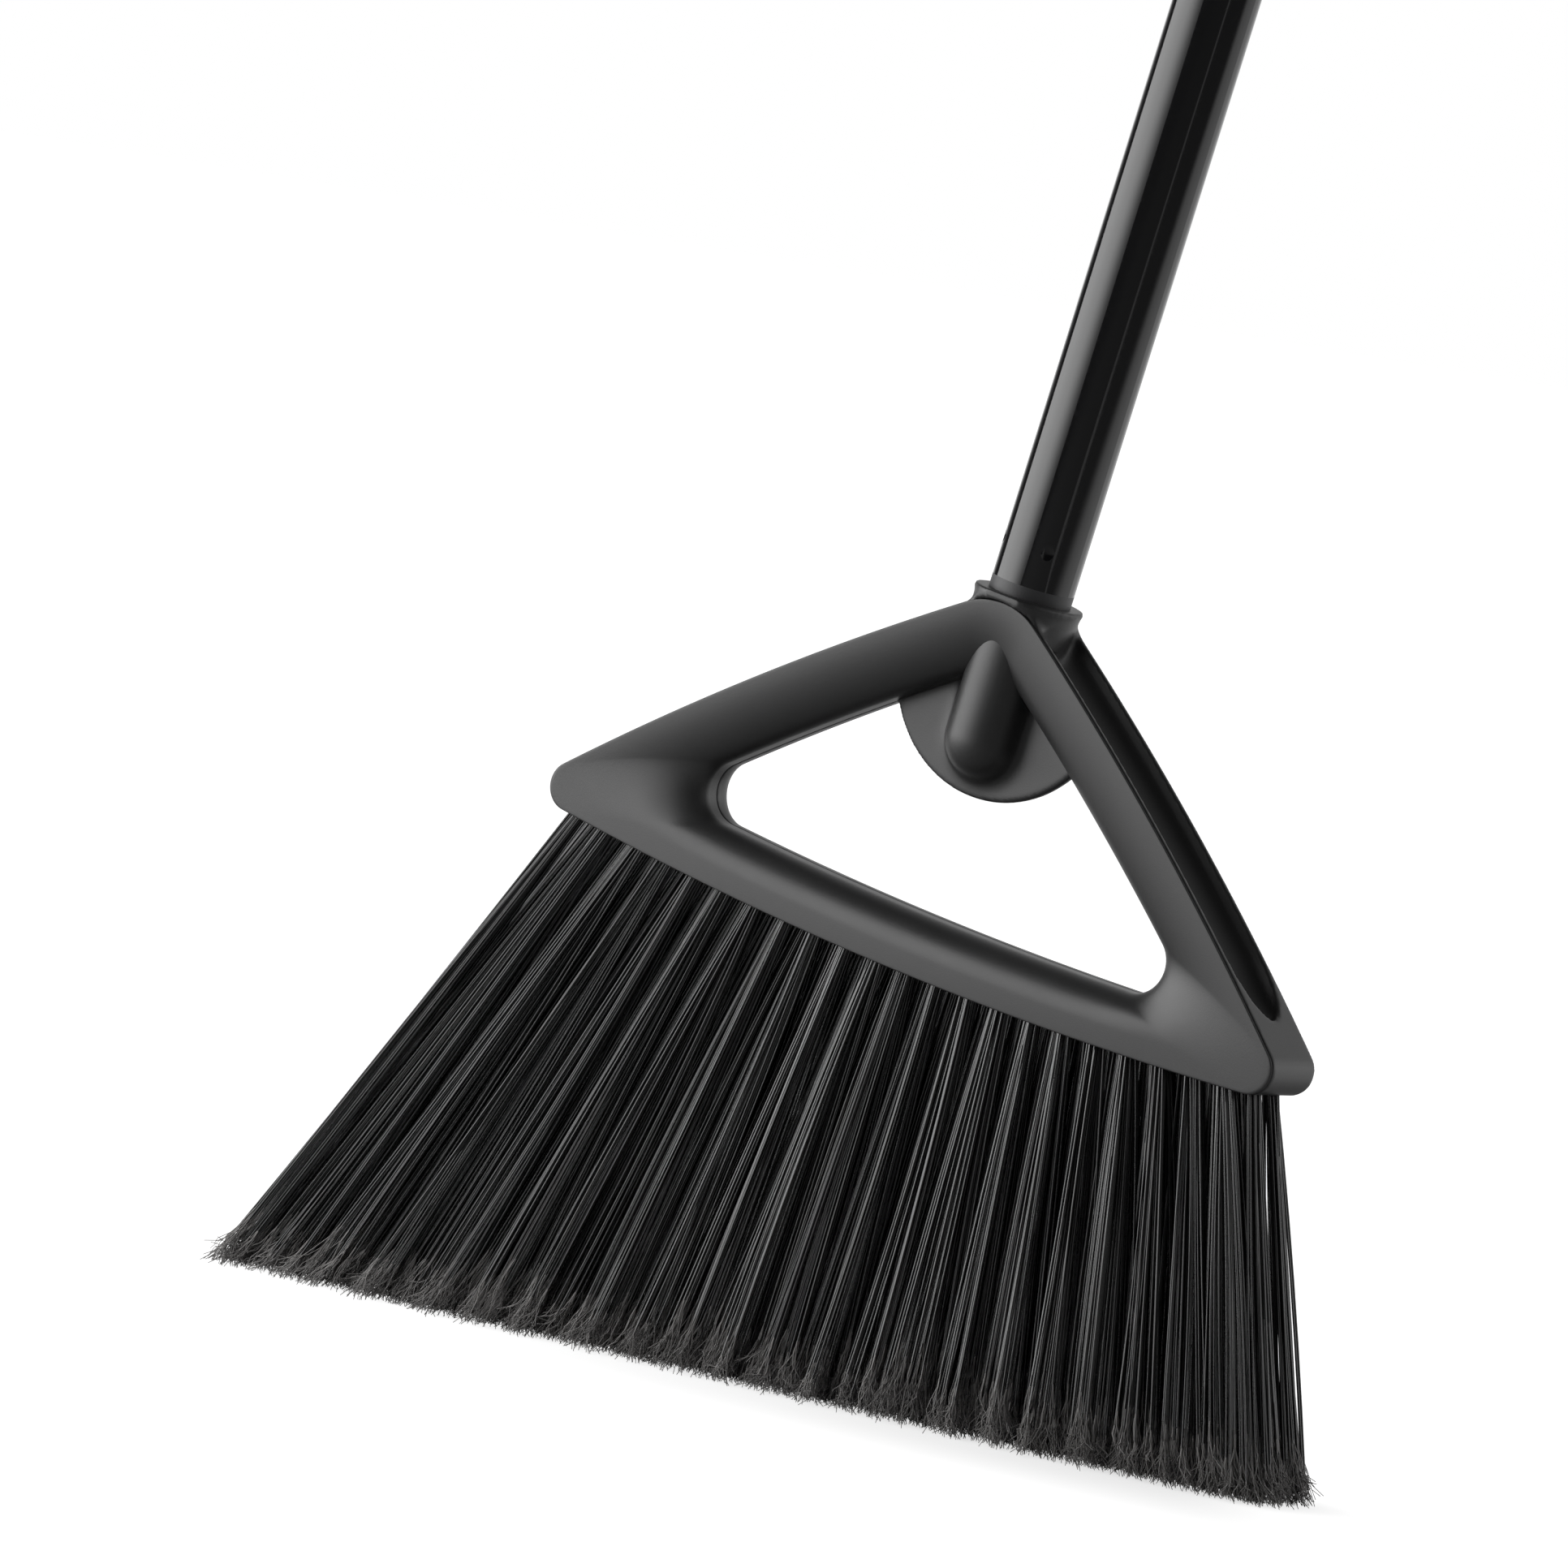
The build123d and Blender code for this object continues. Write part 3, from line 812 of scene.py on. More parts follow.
def front_cover(name, head):
    """The crowned front shell: a closed ring of loops that follow the head's outline."""
    loops = []
    bars = bar_shares()
    for inset, level in cover_section(head):
        spots = outline(inset, *roundings(inset))
        depths = [level] * len(spots)
        if level is None:
            depths = [crown_depth(head, inset, bar, hole_distance(spot)) for spot, bar in zip(spots, bars)]
            depths = eased(eased(depths))
        loops.append([(spot.x, depth, spot.y) for spot, depth in zip(spots, depths)])
    piece = ring_piece(name, loops)
    piece.data.set_sharp_from_angle(angle=crease_angle)
    return piece


# Rear body, as the distance from its surface, less than zero inside
def most(board, *items):
    """The largest of several distances, which keeps what their shapes share."""
    total = items[0]
    for item in items[1:]:
        total = board.math("MAXIMUM", total, item)
    return total


def rounded_most(board, first, second, rounding):
    """What two shapes share, with the edge where they cross square rounded."""
    a = board.math("MAXIMUM", first + rounding, 0.0)
    b = board.math("MAXIMUM", second + rounding, 0.0)
    return board.math("MINIMUM", most(board, first, second), -rounding) + board.diagonal(a, b)


def circle_field(board, across, height, centre, radius):
    return board.diagonal(across - centre.x, height - centre.y) - radius


def slab_field(board, place, middle, thickness):
    """Distance from a slab across a direction."""
    return board.math("ABSOLUTE", place - middle) - thickness / 2


def outline_field(board, across, height, inset, apex_rounding, corner_rounding):
    """Distance from the head's triangle, taken in by an inset. The place across is taken from the axis."""
    field = most(board, circle_field(board, across, height, arm_centre, arm_radius - inset),
                 circle_field(board, across, height, base_centre, base_radius - bar_share * inset))
    apex, corner = apex_spot(inset, apex_rounding), corner_spot(inset, corner_rounding)
    past_apex, past_arm, past_base = arc_ends(apex, corner)

    def beyond(spot, way):
        return (across - spot.x) * way.x + (height - spot.y) * way.y

    near_apex = board.math("LESS_THAN", beyond(apex, past_apex), 0.0)
    past = board.math("MINIMUM", beyond(corner, past_arm), beyond(corner, past_base))
    near_corner = board.math("GREATER_THAN", past, 0.0)
    field = field + near_apex * (circle_field(board, across, height, apex, apex_rounding) - field)
    return field + near_corner * (circle_field(board, across, height, corner, corner_rounding) - field)


def channel_field(board, given, across, depth, height):
    """The scoop along the outer side of an arm, narrowed to a rounded tip at its lower end."""
    along = across * arm_along.x + (height - apex_rise) * arm_along.y
    front, rear = seam_depth + channel_lip, rear_reach - channel_rear_wall
    past = board.math("MAXIMUM", along - given["Channel End"] + given["Channel Taper"], 0.0)
    off = depth - channel_end_depth
    aside = board.math("MAXIMUM", off / (rear - channel_end_depth), off / (front - channel_end_depth))
    sunk = circle_field(board, across, height, arm_centre, arm_radius) / channel_depth
    return (board.diagonal(past / given["Channel Taper"], aside, sunk) - 1) * channel_depth


def body_field(board, given):
    """Distance from the rear body's surface."""
    place, depth, height = board.parts(board.node("GeometryNodeInputPosition"))
    across = board.math("ABSOLUTE", place)
    around = board.diagonal(place, depth)

    # Ring with its channels
    outer = outline_field(board, across, height, 0.0, apex_round, corner_round)
    hole = outline_field(board, across, height, rim_width, hole_round, hole_round)
    rear = depth - rear_reach
    ring = most(board, rounded_most(board, outer, rear, rear_edge_round),
                rounded_most(board, -hole, rear, hole_bullnose),
                rounded_most(board, outer, seam_depth + seam_gap - depth, seam_edge_round))
    channel = channel_field(board, given, across, depth, height)
    ring = board.math("SMOOTH_MAX", ring, -channel, channel_edge_round)

    # Boss, flared up to the collar, and the seat of the front cover
    flange = rounded_most(board, around - collar_radius,
                          slab_field(board, height, -flange_height / 2, flange_height), flange_round)
    flare = board.math("MAXIMUM", height + boss_drop, 0.0) / (boss_drop - flange_height)
    boss = around - boss_radius - (collar_radius - 2 * fit_gap - boss_radius) * flare
    boss = most(board, boss * flare_share, height + flange_height / 2, -boss_drop - height, rear)
    ring = board.math("SMOOTH_MIN", ring, boss, given["Boss Blend"])
    ring = board.math("SMOOTH_MIN", ring, flange, flange_blend)
    front = most(board, outer - 2 * fit_gap, depth - seam_depth - seam_gap)
    seat = rim_width - cover_lip - fit_gap
    lip = most(board, outline_field(board, across, height, seat, *roundings(seat)), depth - fit_gap)
    ring = most(board, ring, -front, -lip)

    # Socket and tongue plate
    below = board.math("MINIMUM", height + (socket_drop - socket_radius), 0.0)
    capsule = most(board, board.diagonal(around, below) - socket_radius, height + collar_height)
    disc = circle_field(board, across, height, Vector((0.0, tongue_radius - tongue_drop)), tongue_radius)
    disc = most(board, disc, hole - tongue_bite)
    sheet = slab_field(board, depth, fit_gap + tongue_thickness / 2, tongue_thickness)
    tongue = rounded_most(board, disc, sheet, tongue_edge_round)
    socket = board.math("SMOOTH_MIN", capsule, tongue, given["Tongue Blend"])
    whole = board.math("SMOOTH_MIN", ring, socket, socket_blend)

    # Threaded bore, and the slot that holds the bristle block
    turn = board.math("ARCTAN2", depth, place) / math.tau
    wave = board.math("COSINE", (height / thread_pitch - turn) * math.tau)
    bore = most(board, around - (thread_core + thread_crest) / 2 - wave * ((thread_crest - thread_core) / 2),
                -bore_depth - height)
    base = circle_field(board, across, height, base_centre, base_radius)
    slot = most(board, board.math("ABSOLUTE", depth) - row_pitch * row_count / 2 - fit_gap,
                -block_thickness - fit_gap - base, across - block_half_length - fit_gap)
    return most(board, whole, -bore, -slot)


body_inputs = {
    **dict.fromkeys(("Tongue Blend", "Boss Blend", "Channel Taper", "Channel End", "Grain"), "Float"),
    "Material": "Material",
}


def body_tree():
    """The rear body, meshed from its distances."""
    board, given = new_tree("Broom rear body", body_inputs)
    low = Vector((-corner_reach, seam_depth - field_margin, -base_drop - field_margin))
    high = Vector((corner_reach, collar_radius + field_margin, field_margin))
    density = board.smooth(body_field(board, given), field_fade, -field_fade, kind="LINEAR")
    sockets = {"Density": density, "Min": low, "Max": high}
    for axis, size in zip("XYZ", high - low):
        sockets[f"Resolution {axis}"] = board.math("ROUND", size / given["Grain"])
    volume = board.node("GeometryNodeVolumeCube", None, sockets)
    sockets = {"Volume": volume, "Threshold": 0.5}
    mesh = board.node("GeometryNodeVolumeToMesh", {"resolution_mode": "GRID"}, sockets)
    return close_tree(board, mesh, given["Material"])


# Bristles
bristle_inputs = {
    **dict.fromkeys(("Tufts", "Bundles", "Filaments", "Hairs", "Seed"), "Int"),
    **dict.fromkeys(("Row Depth", "Pitch", "Shift", "Fan", "Root Radius", "Tip Radius", "Bundle Radius",
                     "Thickness", "Split Length"), "Float"),
    "Material": "Material",
}


def brush_edge(side):
    """Reach of the brush along the floor, in the head's frame, on the side of +X or -X."""
    reach = half_row + row_stagger
    across = side * reach
    turn = side * bpy.context.scene.broom_bristles.fan * reach / half_row
    base = base_radius - math.sqrt(base_radius**2 - reach**2) - base_drop
    run = (base + stand_length - across * floor_slope) / (math.cos(turn) + math.sin(turn) * floor_slope)
    return across + run * math.sin(turn) + side * edge_spread


def base_height(board, across):
    """Height of the head's lower edge at a place across the head."""
    return base_radius - board.math("SQRT", base_radius**2 - across * across) - base_drop


def filament_fields(board, given, filament):
    """Root, tip, bow, finish and shade of a filament by its number, in the head's frame."""
    bundle = board.math("FLOOR", filament / given["Filaments"])
    tuft = board.math("FLOOR", bundle / given["Bundles"])
    step = bundle - tuft * given["Bundles"]
    varied = new_draws(board, given["Seed"] * seeds_per_row, 1)

    def either_way(key, most_off):
        return varied(key, -most_off, most_off)

    def on_disc(reach, turn):
        return reach * board.math("COSINE", turn), reach * board.math("SINE", turn)

    across = (tuft - (given["Tufts"] - 1) / 2) * given["Pitch"] + given["Shift"]
    reach = board.math("SQRT", (step + 0.5) / given["Bundles"]) * varied(bundle, *bundle_reach)
    turn = step * golden_turn + varied(tuft, 0.0, math.tau) + either_way(bundle, bundle_turn)
    side, deep = on_disc(reach, turn)
    off, far = on_disc(board.math("SQRT", varied(filament, 0.0, 1.0)), varied(filament, 0.0, math.tau))
    base = base_height(board, across)
    gather = given["Root Radius"]
    root = board.vector(across + gather * (side * bundle_share + off * filament_share),
                        given["Row Depth"] + gather * (deep * bundle_share + far * filament_share),
                        base + root_sink * block_thickness)

    angle = given["Fan"] * across / half_row + either_way(tuft, tuft_lean)
    sine = board.math("SINE", angle)
    run = (base + stand_length - across * floor_slope) / (board.math("COSINE", angle) + sine * floor_slope)
    splay = given["Bundle Radius"] * varied(bundle, *bundle_splay)
    outward = board.math("ABSOLUTE", across)
    squeeze = board.smooth(outward, squeeze_start * half_row, half_row, 1.0, end_squeeze)
    spread = given["Tip Radius"] * squeeze * board.math("SQRT", run / mean_run)
    tip_across = across + run * sine + spread * side + splay * off + either_way(filament, filament_tip)
    tip_across = tip_across - 2 * board.math("MAXIMUM", tip_across - brush_edge(1), 0.0)
    tip_across = tip_across - 2 * board.math("MINIMUM", tip_across - brush_edge(-1), 0.0)
    tip_depth = given["Row Depth"] * depth_splay + depth_spread * spread * deep + splay * far
    tip_depth = tip_depth + either_way(filament, filament_tip)
    clearance = floor_clearance + varied(tuft, 0.0, tuft_clearance)
    clearance = clearance + varied(filament, 0.0, filament_clearance)
    tip = board.vector(tip_across, tip_depth, tip_across * floor_slope - stand_length + clearance)

    bow_across = either_way(bundle, bundle_bow) + either_way(filament, filament_bow)
    bow_deep = either_way(bundle, bundle_bow) + either_way(filament, filament_bow)
    split = varied(bundle, *bundle_split) + varied(filament, *filament_split)
    shade = varied(bundle, *bundle_shade) + varied(filament, *filament_shade)
    return {"root": root, "tip": tip, "bow": board.vector(bow_across, bow_deep, 0.0),
            "finish": 1 - given["Split Length"] * split / run, "shade": shade}


attribute_kinds = {
    **dict.fromkeys(("root", "tip", "bow", "fray"), "FLOAT_VECTOR"),
    **dict.fromkeys(("finish", "shade", "curl"), "FLOAT"),
}


def strands_from(board, count, fields, thickness, path, segments, sides, taper):
    """Tubes along a path that is worked out from stored fields and the place along the strand."""
    points = board.node("GeometryNodePoints", None, {"Count": count})
    own = {}
    for name, item in fields.items():
        settings = {"data_type": attribute_kinds[name]}
        sockets = {"Geometry": points, "Name": name, "Value": item}
        points = board.node("GeometryNodeStoreNamedAttribute", settings, sockets)
        own[name] = board.node("GeometryNodeInputNamedAttribute", settings, {"Name": name})
    line = board.node("GeometryNodeCurvePrimitiveLine")
    line = board.node("GeometryNodeResampleCurve", None, {"Curve": line, "Count": segments + 1})
    lines = board.node("GeometryNodeInstanceOnPoints", None, {"Points": points, "Instance": line})
    lines = board.node("GeometryNodeRealizeInstances", None, {0: lines})
    along = board.node("GeometryNodeSplineParameter")
    lines = board.node("GeometryNodeSetPosition", None, {"Geometry": lines, "Position": path(own, along)})
    sockets = {"Resolution": sides, "Radius": thickness / 2}
    profile = board.node("GeometryNodeCurvePrimitiveCircle", None, sockets)
    sockets = {"Curve": lines, "Profile Curve": profile, "Scale": 1 - along * taper}
    return board.node("GeometryNodeCurveToMesh", None, sockets)


def filament_place(own, part):
    """Point of a filament at a part of its way from root to tip."""
    return own["root"] + (own["tip"] - own["root"]) * part + own["bow"] * (4 * part * (1 - part))


def block_slice(board, given):
    """The row's slice of the block that holds the tufts: its lower face, and the rest."""
    sockets = {"Size X": 2 * block_half_length, "Size Y": row_pitch,
               "Vertices X": block_steps + 1, "Vertices Y": 2}
    slab = board.node("GeometryNodeMeshGrid", None, sockets)
    across, depth, _ = board.parts(board.node("GeometryNodeInputPosition"))
    shaped = board.vector(across, depth + given["Row Depth"], base_height(board, across))
    slab = board.node("GeometryNodeSetPosition", None, {"Geometry": slab, "Position": shaped})
    sockets = {"Mesh": slab, "Offset": (0.0, 0.0, 1.0), "Offset Scale": block_thickness, "Individual": False}
    upper = board.node("GeometryNodeExtrudeMesh", None, sockets)
    return board.node("GeometryNodeFlipFaces", None, {"Mesh": slab}), upper


def filament_tree():
    """A row of tufts, from the block down to where the filaments split."""
    board, given = new_tree("Broom filaments", bristle_inputs)
    count = given["Tufts"] * given["Bundles"] * given["Filaments"]
    fields = filament_fields(board, given, board.node("GeometryNodeInputIndex"))

    def path(own, along):
        return filament_place(own, along * own["finish"])

    strands = strands_from(board, count, fields, given["Thickness"], path,
                           segments=6, sides=4, taper=filament_taper)
    joined = board.node("GeometryNodeJoinGeometry")
    for item in (*block_slice(board, given), strands):
        board.feed(joined.socket.node.inputs[0], item)
    return close_tree(board, joined, given["Material"])


def hair_tree():
    """The split tips of a row's filaments, frayed and waved."""
    board, given = new_tree("Broom split tips", bristle_inputs)
    hair = board.node("GeometryNodeInputIndex")
    count = given["Tufts"] * given["Bundles"] * given["Filaments"] * given["Hairs"]
    fields = filament_fields(board, given, board.math("FLOOR", hair / given["Hairs"]))
    varied = new_draws(board, given["Seed"] * seeds_per_row, hair_seed)
    across, deep = varied(hair, -hair_fray, hair_fray), varied(hair, -hair_fray, hair_fray)
    lift = varied(hair, 0.0, 1.0)
    fields["fray"] = board.vector(across, deep, lift * lift * lift * hair_lift)
    fields["curl"] = varied(hair, 0.0, math.tau)
    fields["shade"] = varied(hair, 0.0, 1.0)

    def path(own, along):
        start = own["finish"] - hair_overlap
        spot = filament_place(own, start + (1 - start) * along)
        swing = board.math("SINE", own["curl"] + along * hair_swing)
        sway = board.math("COSINE", own["curl"] * sway_share + along * hair_sway)
        wave = board.vector(swing, sway, 0.0) * (hair_wave * along)
        return spot + own["fray"] * (along * along) + wave

    strands = strands_from(board, count, fields, given["Thickness"], path,
                           segments=4, sides=3, taper=hair_taper)
    return close_tree(board, strands, given["Material"])


# Foam sleeve
def foam_profile():
    """Radii and heights of the sleeve's loops, from its bore round the outside and back."""
    flat = foam_radius - foam_soft
    turns = [math.pi / 2 * step / foam_rim_steps for step in range(1, foam_rim_steps + 1)]
    rim = [(flat + foam_soft * math.sin(turn), foam_soft - foam_soft * math.cos(turn)) for turn in turns]
    side = [(foam_radius, foam_soft + (foam_length - 2 * foam_soft) * step / foam_rings)
            for step in range(1, foam_rings)]
    top = [(radius, foam_length - height) for radius, height in reversed(rim)]
    return [(foam_bore, 0.0), (flat, 0.0), *rim, *side, *top, (flat, foam_length), (foam_bore, foam_length)]


def foam_sleeve(name):
    """Sleeve turned about the pole, with a slightly uneven skin, rounded rims and a bore."""
    foot = (Vector(joints["third_unscrew"]["pos_m"]) - collar_top).length + foam_rise
    loops = []
    for radius, height in foam_profile():
        loop = []
        for step in range(foam_sides):
            turn = math.tau * step / foam_sides
            spot = Vector((math.cos(turn), math.sin(turn), 0.0))
            dent = 0.0
            if radius > foam_bore:
                where = Vector((spot.x * radius, spot.y * radius, height))
                dent = sum(depth * noise.noise(where * scale) for depth, scale in foam_dents)
            loop.append(spot * (radius + dent) + Vector((0.0, 0.0, foot + height)))
        loops.append(loop)
    return ring_piece(name, loops)


# Studio
def reach_along(x, y, way):
    """How far a place lies along a direction on the floor."""
    return x * way.x + y * way.y


def studio_floor(colour, bounce):
    """Wide white floor with a painted soft shadow of the brush. It throws light back, but not from in front.
    """
    corners = [(x * floor_half, y * floor_half, 0) for x, y in ((-1, -1), (1, -1), (1, 1), (-1, 1))]
    floor = flat_panel("studio_floor", corners)
    material, board = new_finish("studio_floor")
    x, y, _ = board.parts(board.node("ShaderNodeTexCoord", output="Object"))
    # Painted shadow: the white glow that the camera sees is lowered in front of the brush, by a mask that
    # slants to the right.
    ahead = board.math("MAXIMUM", -brush_front - y, 0.0)
    foot = x - ahead * shadow_slant
    shade = board.smooth(foot, *shadow_left, shadow_left_end) * board.smooth(foot, *shadow_right, 1.0, 0.0)
    shade = shade * board.smooth(y, *shadow_rear, 1.0, 0.0)
    shade = shade * board.smooth(ahead, *shadow_front, shadow_dark, 0.0)
    near = reach_along(x, y, camera_way)
    aside = board.math("ABSOLUTE", reach_along(x, y, right_way))
    clear = board.math("MAXIMUM", board.smooth(aside, *lit_aside), board.smooth(near, *lit_behind))
    lit = board.smooth(near, *lit_ahead, bounce, 0.0) * clear
    seen = board.node("ShaderNodeLightPath", output="Is Camera Ray")
    floor.data.materials.append(set_surface(material, board, {
        "Base Color": tinted(board, colour, grain_field(board, floor_scale), spread=0.01),
        "Roughness": 1.0,
        "Specular IOR Level": 0.0,
        "Emission Color": seen * (1 - shade) + (1 - seen) * lit,
        "Emission Strength": 1.0,
    }))
    return floor


def studio_surround(backdrop, side, fill):
    """White behind and beside the broom, dark towards the camera and overhead, white to the camera itself."""
    world = bpy.data.worlds.new("studio_surround")
    world.use_nodes = True
    bpy.context.scene.world = world
    board = Board(world.node_tree)
    x, y, z = board.parts(board.node("ShaderNodeTexCoord", output="Generated"))
    behind = board.smooth(reach_along(x, y, behind_way), *behind_edge)
    low = board.smooth(z, *overhead_edge, 1.0, overhead_glow)
    wall = board.smooth(reach_along(x, y, right_way), *wall_edge) * side
    wall = wall * board.smooth(reach_along(x, y, wall_way), *wall_end)
    glow = board.math("MAXIMUM", behind * low * (backdrop - fill), wall) + fill
    seen = board.node("ShaderNodeLightPath", output="Is Camera Ray")
    mirrored = seen.also("Is Glossy Ray") * board.smooth(reach_along(x, y, backdrop_way), *backdrop_edge)
    white = most(board, seen, seen.also("Is Transmission Ray"), mirrored, glow)
    board.feed(world.node_tree.nodes["Background"].inputs["Color"], white)


def softbox(name, spot, target, reach, height, strength):
    """Light panel that faces a target. It fades towards its ends and isn't seen by the camera."""
    low, high = reach
    top = height / 2
    box = flat_panel(name, [(low, top, 0), (high, top, 0), (high, -top, 0), (low, -top, 0)])
    box.location = spot
    box.rotation_euler = (target - spot).to_track_quat("-Z", "Y").to_euler()
    box.visible_camera = False
    material, board = new_finish(name)
    x, _, _ = board.parts(board.node("ShaderNodeTexCoord", output="Object"))
    front = 1 - board.node("ShaderNodeNewGeometry", output="Backfacing")
    fade = board.smooth(x, high * far_fade, high, 1.0, far_glow)
    fade = fade * board.smooth(x, low, low * near_fade, near_glow, 1.0)
    box.data.materials.append(set_surface(material, board, {
        "Base Color": (0.0, 0.0, 0.0, 1.0),
        "Specular IOR Level": 0.0,
        "Emission Color": front * fade,
        "Emission Strength": strength,
    }))
    box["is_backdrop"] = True


def key_light(strength, right, back):
    """The large softbox to the camera's left."""
    target = head_frame @ key_aim
    way = back * math.cos(key_turn) - right * math.sin(key_turn)
    softbox("key_softbox", target + way * key_distance + key_rise, target, key_panel, key_height, strength)


def edge_light(strength, back):
    """The narrow strip that draws a bright line along the pole."""
    middle = collar_top + up_pole * strip_aim
    level = back - up_pole * back.dot(up_pole)
    across = up_pole.cross(level).normalized()
    aside = level.normalized() * math.cos(strip_turn) + across * math.sin(strip_turn)
    spot = middle + (aside * level.length - up_pole * back.dot(up_pole)) * strip_distance
    softbox("edge_strip", spot, middle, strip_panel, strip_height, strength)


def camera_turn(studio):
    """Camera axes in the broom's frame: right, up and back as columns."""
    sine, cosine = math.sin(studio.azimuth), math.cos(studio.azimuth)
    level = math.cos(studio.elevation)
    back = Vector((sine * level, -cosine * level, math.sin(studio.elevation)))
    right = Vector((cosine, sine, 0.0))
    axes = Matrix((right, back.cross(right), back)).transposed()
    return head_frame.to_3x3() @ axes @ Matrix.Rotation(studio.roll, 3, "Z")


def studio_camera(studio, turn):
    """The camera of the photograph."""
    lens = bpy.data.cameras.new("photo_camera")
    lens.lens = studio.lens
    lens.sensor_width = sensor_width
    lens.clip_end = camera_reach
    camera = new_object("photo_camera", lens)
    spot = head_frame @ Vector(studio.aim) + turn.col[2] * studio.distance
    camera.matrix_world = Matrix.Translation(spot) @ turn.to_4x4()
    bpy.context.scene.camera = camera


class BROOM_OT_head(bpy.types.Operator):
    """Makes the two shells of the head and finishes the wire anchors"""

    bl_idname = "broom.head"
    bl_label = "Head"

    def execute(self, context):
        finishes = context.scene.broom_finishes
        head = context.scene.broom_head
        plastic = moulded_plastic("head_plastic", finishes.head, roughness=0.42, grain_size=0.00042,
                                  depth=0.00006, specular=0.62)
        cover = front_cover("head_front_shell", head)
        cover.data.materials.append(plastic)
        body = grow("head_rear_shell", body_tree(), {**sizes_of(head), "Material": plastic})
        for shell, node in ((cover, "head_front_cover"), (body, "head_body")):
            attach(shell, "head")
            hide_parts(node)
        dress("tuft_anchors", drawn_wire("anchor_wire", finishes.wire))
        return {"FINISHED"}


class BROOM_OT_bristles(bpy.types.Operator):
    """Grows the four rows of tufts and their split tips"""

    bl_idname = "broom.bristles"
    bl_label = "Bristles"

    def execute(self, context):
        sizes = context.scene.broom_bristles
        finishes = context.scene.broom_finishes
        filament = filament_plastic("bristle_filament", finishes.bristle)
        hair = split_hair("bristle_split_tip", finishes.tip)
        filaments, hairs = filament_tree(), hair_tree()
        for row in range(row_count):
            values = {
                **sizes_of(sizes),
                "Tufts": row_tufts,
                "Row Depth": row_pitch * (row - (row_count - 1) / 2),
                "Pitch": tuft_pitch,
                "Shift": row_stagger if row % 2 else -row_stagger,
                "Seed": sizes.seed + row,
                "Material": filament,
            }
            node = f"bristle_row_{row + 1}"
            tufts = grow(f"{node}_filaments", filaments, values)
            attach(tufts, "head")
            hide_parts(node)
            values.update({"Thickness": sizes.hair_thickness, "Material": hair})
            tips = grow(f"{node}_split_tips", hairs, values)
            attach(tips, "head")
        return {"FINISHED"}


class BROOM_OT_pole(bpy.types.Operator):
    """Finishes the tubes, their joint rings, plugs and inserts"""

    bl_idname = "broom.pole"
    bl_label = "Pole"

    def execute(self, context):
        finishes = context.scene.broom_finishes
        paint = gloss_paint("pole_paint", finishes.pole)
        ring = moulded_plastic("ring_plastic", finishes.ring, roughness=0.46, grain_size=0.00035,
                               depth=0.00005)
        thread = moulded_plastic("thread_plastic", finishes.ring, roughness=0.4, grain_size=0.0006,
                                 depth=0.00004)
        for section in sections:
            dress(f"{section}_tube", paint)
            dress(f"{section}_joint_ring", ring)
            dress(f"{section}_plug", thread)
            if f"{section}_insert" in frame["nodes"]:
                dress(f"{section}_insert", thread)
        return {"FINISHED"}


class BROOM_OT_foam(bpy.types.Operator):
    """Makes the foam sleeve on the third tube"""

    bl_idname = "broom.foam"
    bl_label = "Foam Sleeve"

    def execute(self, context):
        sleeve = foam_sleeve("foam_sleeve")
        sleeve.data.materials.append(cell_foam("foam", context.scene.broom_finishes.foam))
        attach(sleeve, "third_pole")
        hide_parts("foam_grip")
        return {"FINISHED"}


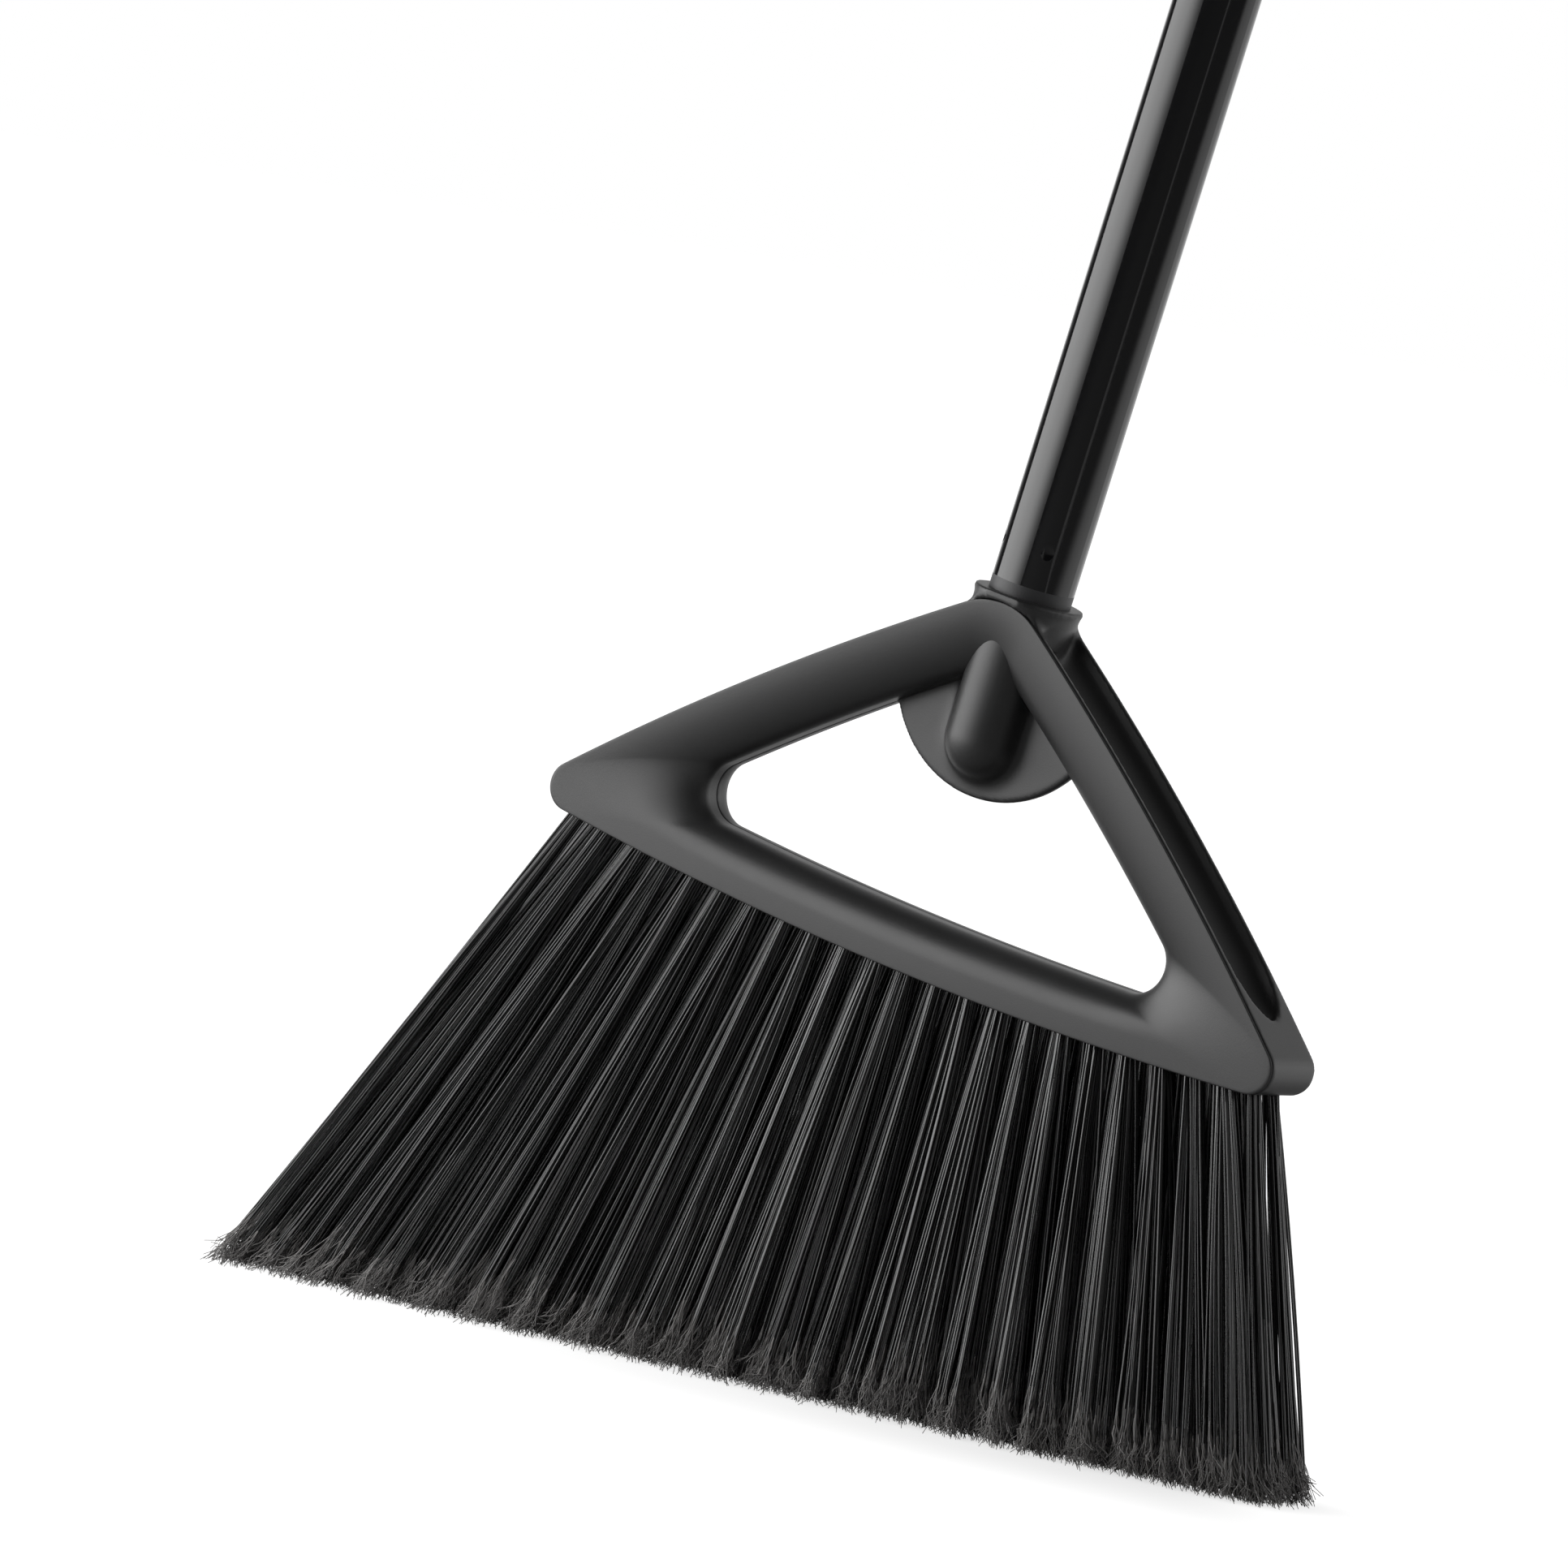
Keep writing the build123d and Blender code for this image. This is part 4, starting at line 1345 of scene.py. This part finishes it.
class BROOM_OT_grips(bpy.types.Operator):
    """Finishes the hand grip, its lower ring and the hanging cap"""

    bl_idname = "broom.grips"
    bl_label = "Grips"

    def execute(self, context):
        colour = context.scene.broom_finishes.grip
        plastic = moulded_plastic("grip_plastic", colour, roughness=0.52, grain_size=0.0004, depth=0.00006)
        for node in ("hand_grip", "grip_end_ring", "hang_cap"):
            dress(node, plastic)
        return {"FINISHED"}


class BROOM_OT_stage(bpy.types.Operator):
    """Sets up the floor, the surround, the two softboxes and the camera"""

    bl_idname = "broom.stage"
    bl_label = "Stage"

    def execute(self, context):
        studio = context.scene.broom_studio
        studio_floor(context.scene.broom_finishes.floor, studio.bounce)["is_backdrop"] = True
        studio_surround(studio.backdrop, studio.side, studio.fill)
        turn = camera_turn(studio)
        studio_camera(studio, turn)
        key_light(studio.key, right=turn.col[0], back=turn.col[2])
        edge_light(studio.strip, back=turn.col[2])
        context.scene.view_settings.view_transform = "Standard"
        return {"FINISHED"}


class BROOM_PT_panel(bpy.types.Panel):
    """Broom tools in the sidebar"""

    bl_idname = "BROOM_PT_panel"
    bl_label = "Angle Broom"
    bl_space_type = "VIEW_3D"
    bl_region_type = "UI"
    bl_category = "Broom"

    def draw(self, context):
        for name, kind in groups.items():
            box = self.layout.box()
            for key in kind.__annotations__:
                box.prop(getattr(context.scene, name), key)
        for operator in operators:
            self.layout.operator(operator.bl_idname)


groups = {"broom_head": BroomHead, "broom_bristles": BroomBristles, "broom_finishes": BroomFinishes,
          "broom_studio": BroomStudio}
operators = (BROOM_OT_head, BROOM_OT_bristles, BROOM_OT_pole, BROOM_OT_foam, BROOM_OT_grips, BROOM_OT_stage)


def register():
    for kind in (*groups.values(), *operators, BROOM_PT_panel):
        bpy.utils.register_class(kind)
    for name, kind in groups.items():
        setattr(bpy.types.Scene, name, PointerProperty(type=kind))


def unregister():
    for name in groups:
        delattr(bpy.types.Scene, name)
    for kind in reversed((*groups.values(), *operators, BROOM_PT_panel)):
        bpy.utils.unregister_class(kind)


def main():
    register()
    bpy.ops.broom.head()
    bpy.ops.broom.bristles()
    bpy.ops.broom.pole()
    bpy.ops.broom.foam()
    bpy.ops.broom.grips()
    bpy.ops.broom.stage()
    boxes = {"cad": cad_box, "visual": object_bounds()}
    {name: [list(corner) for corner in box] for name, box in boxes.items()}


if __name__ == "__main__":
    main()
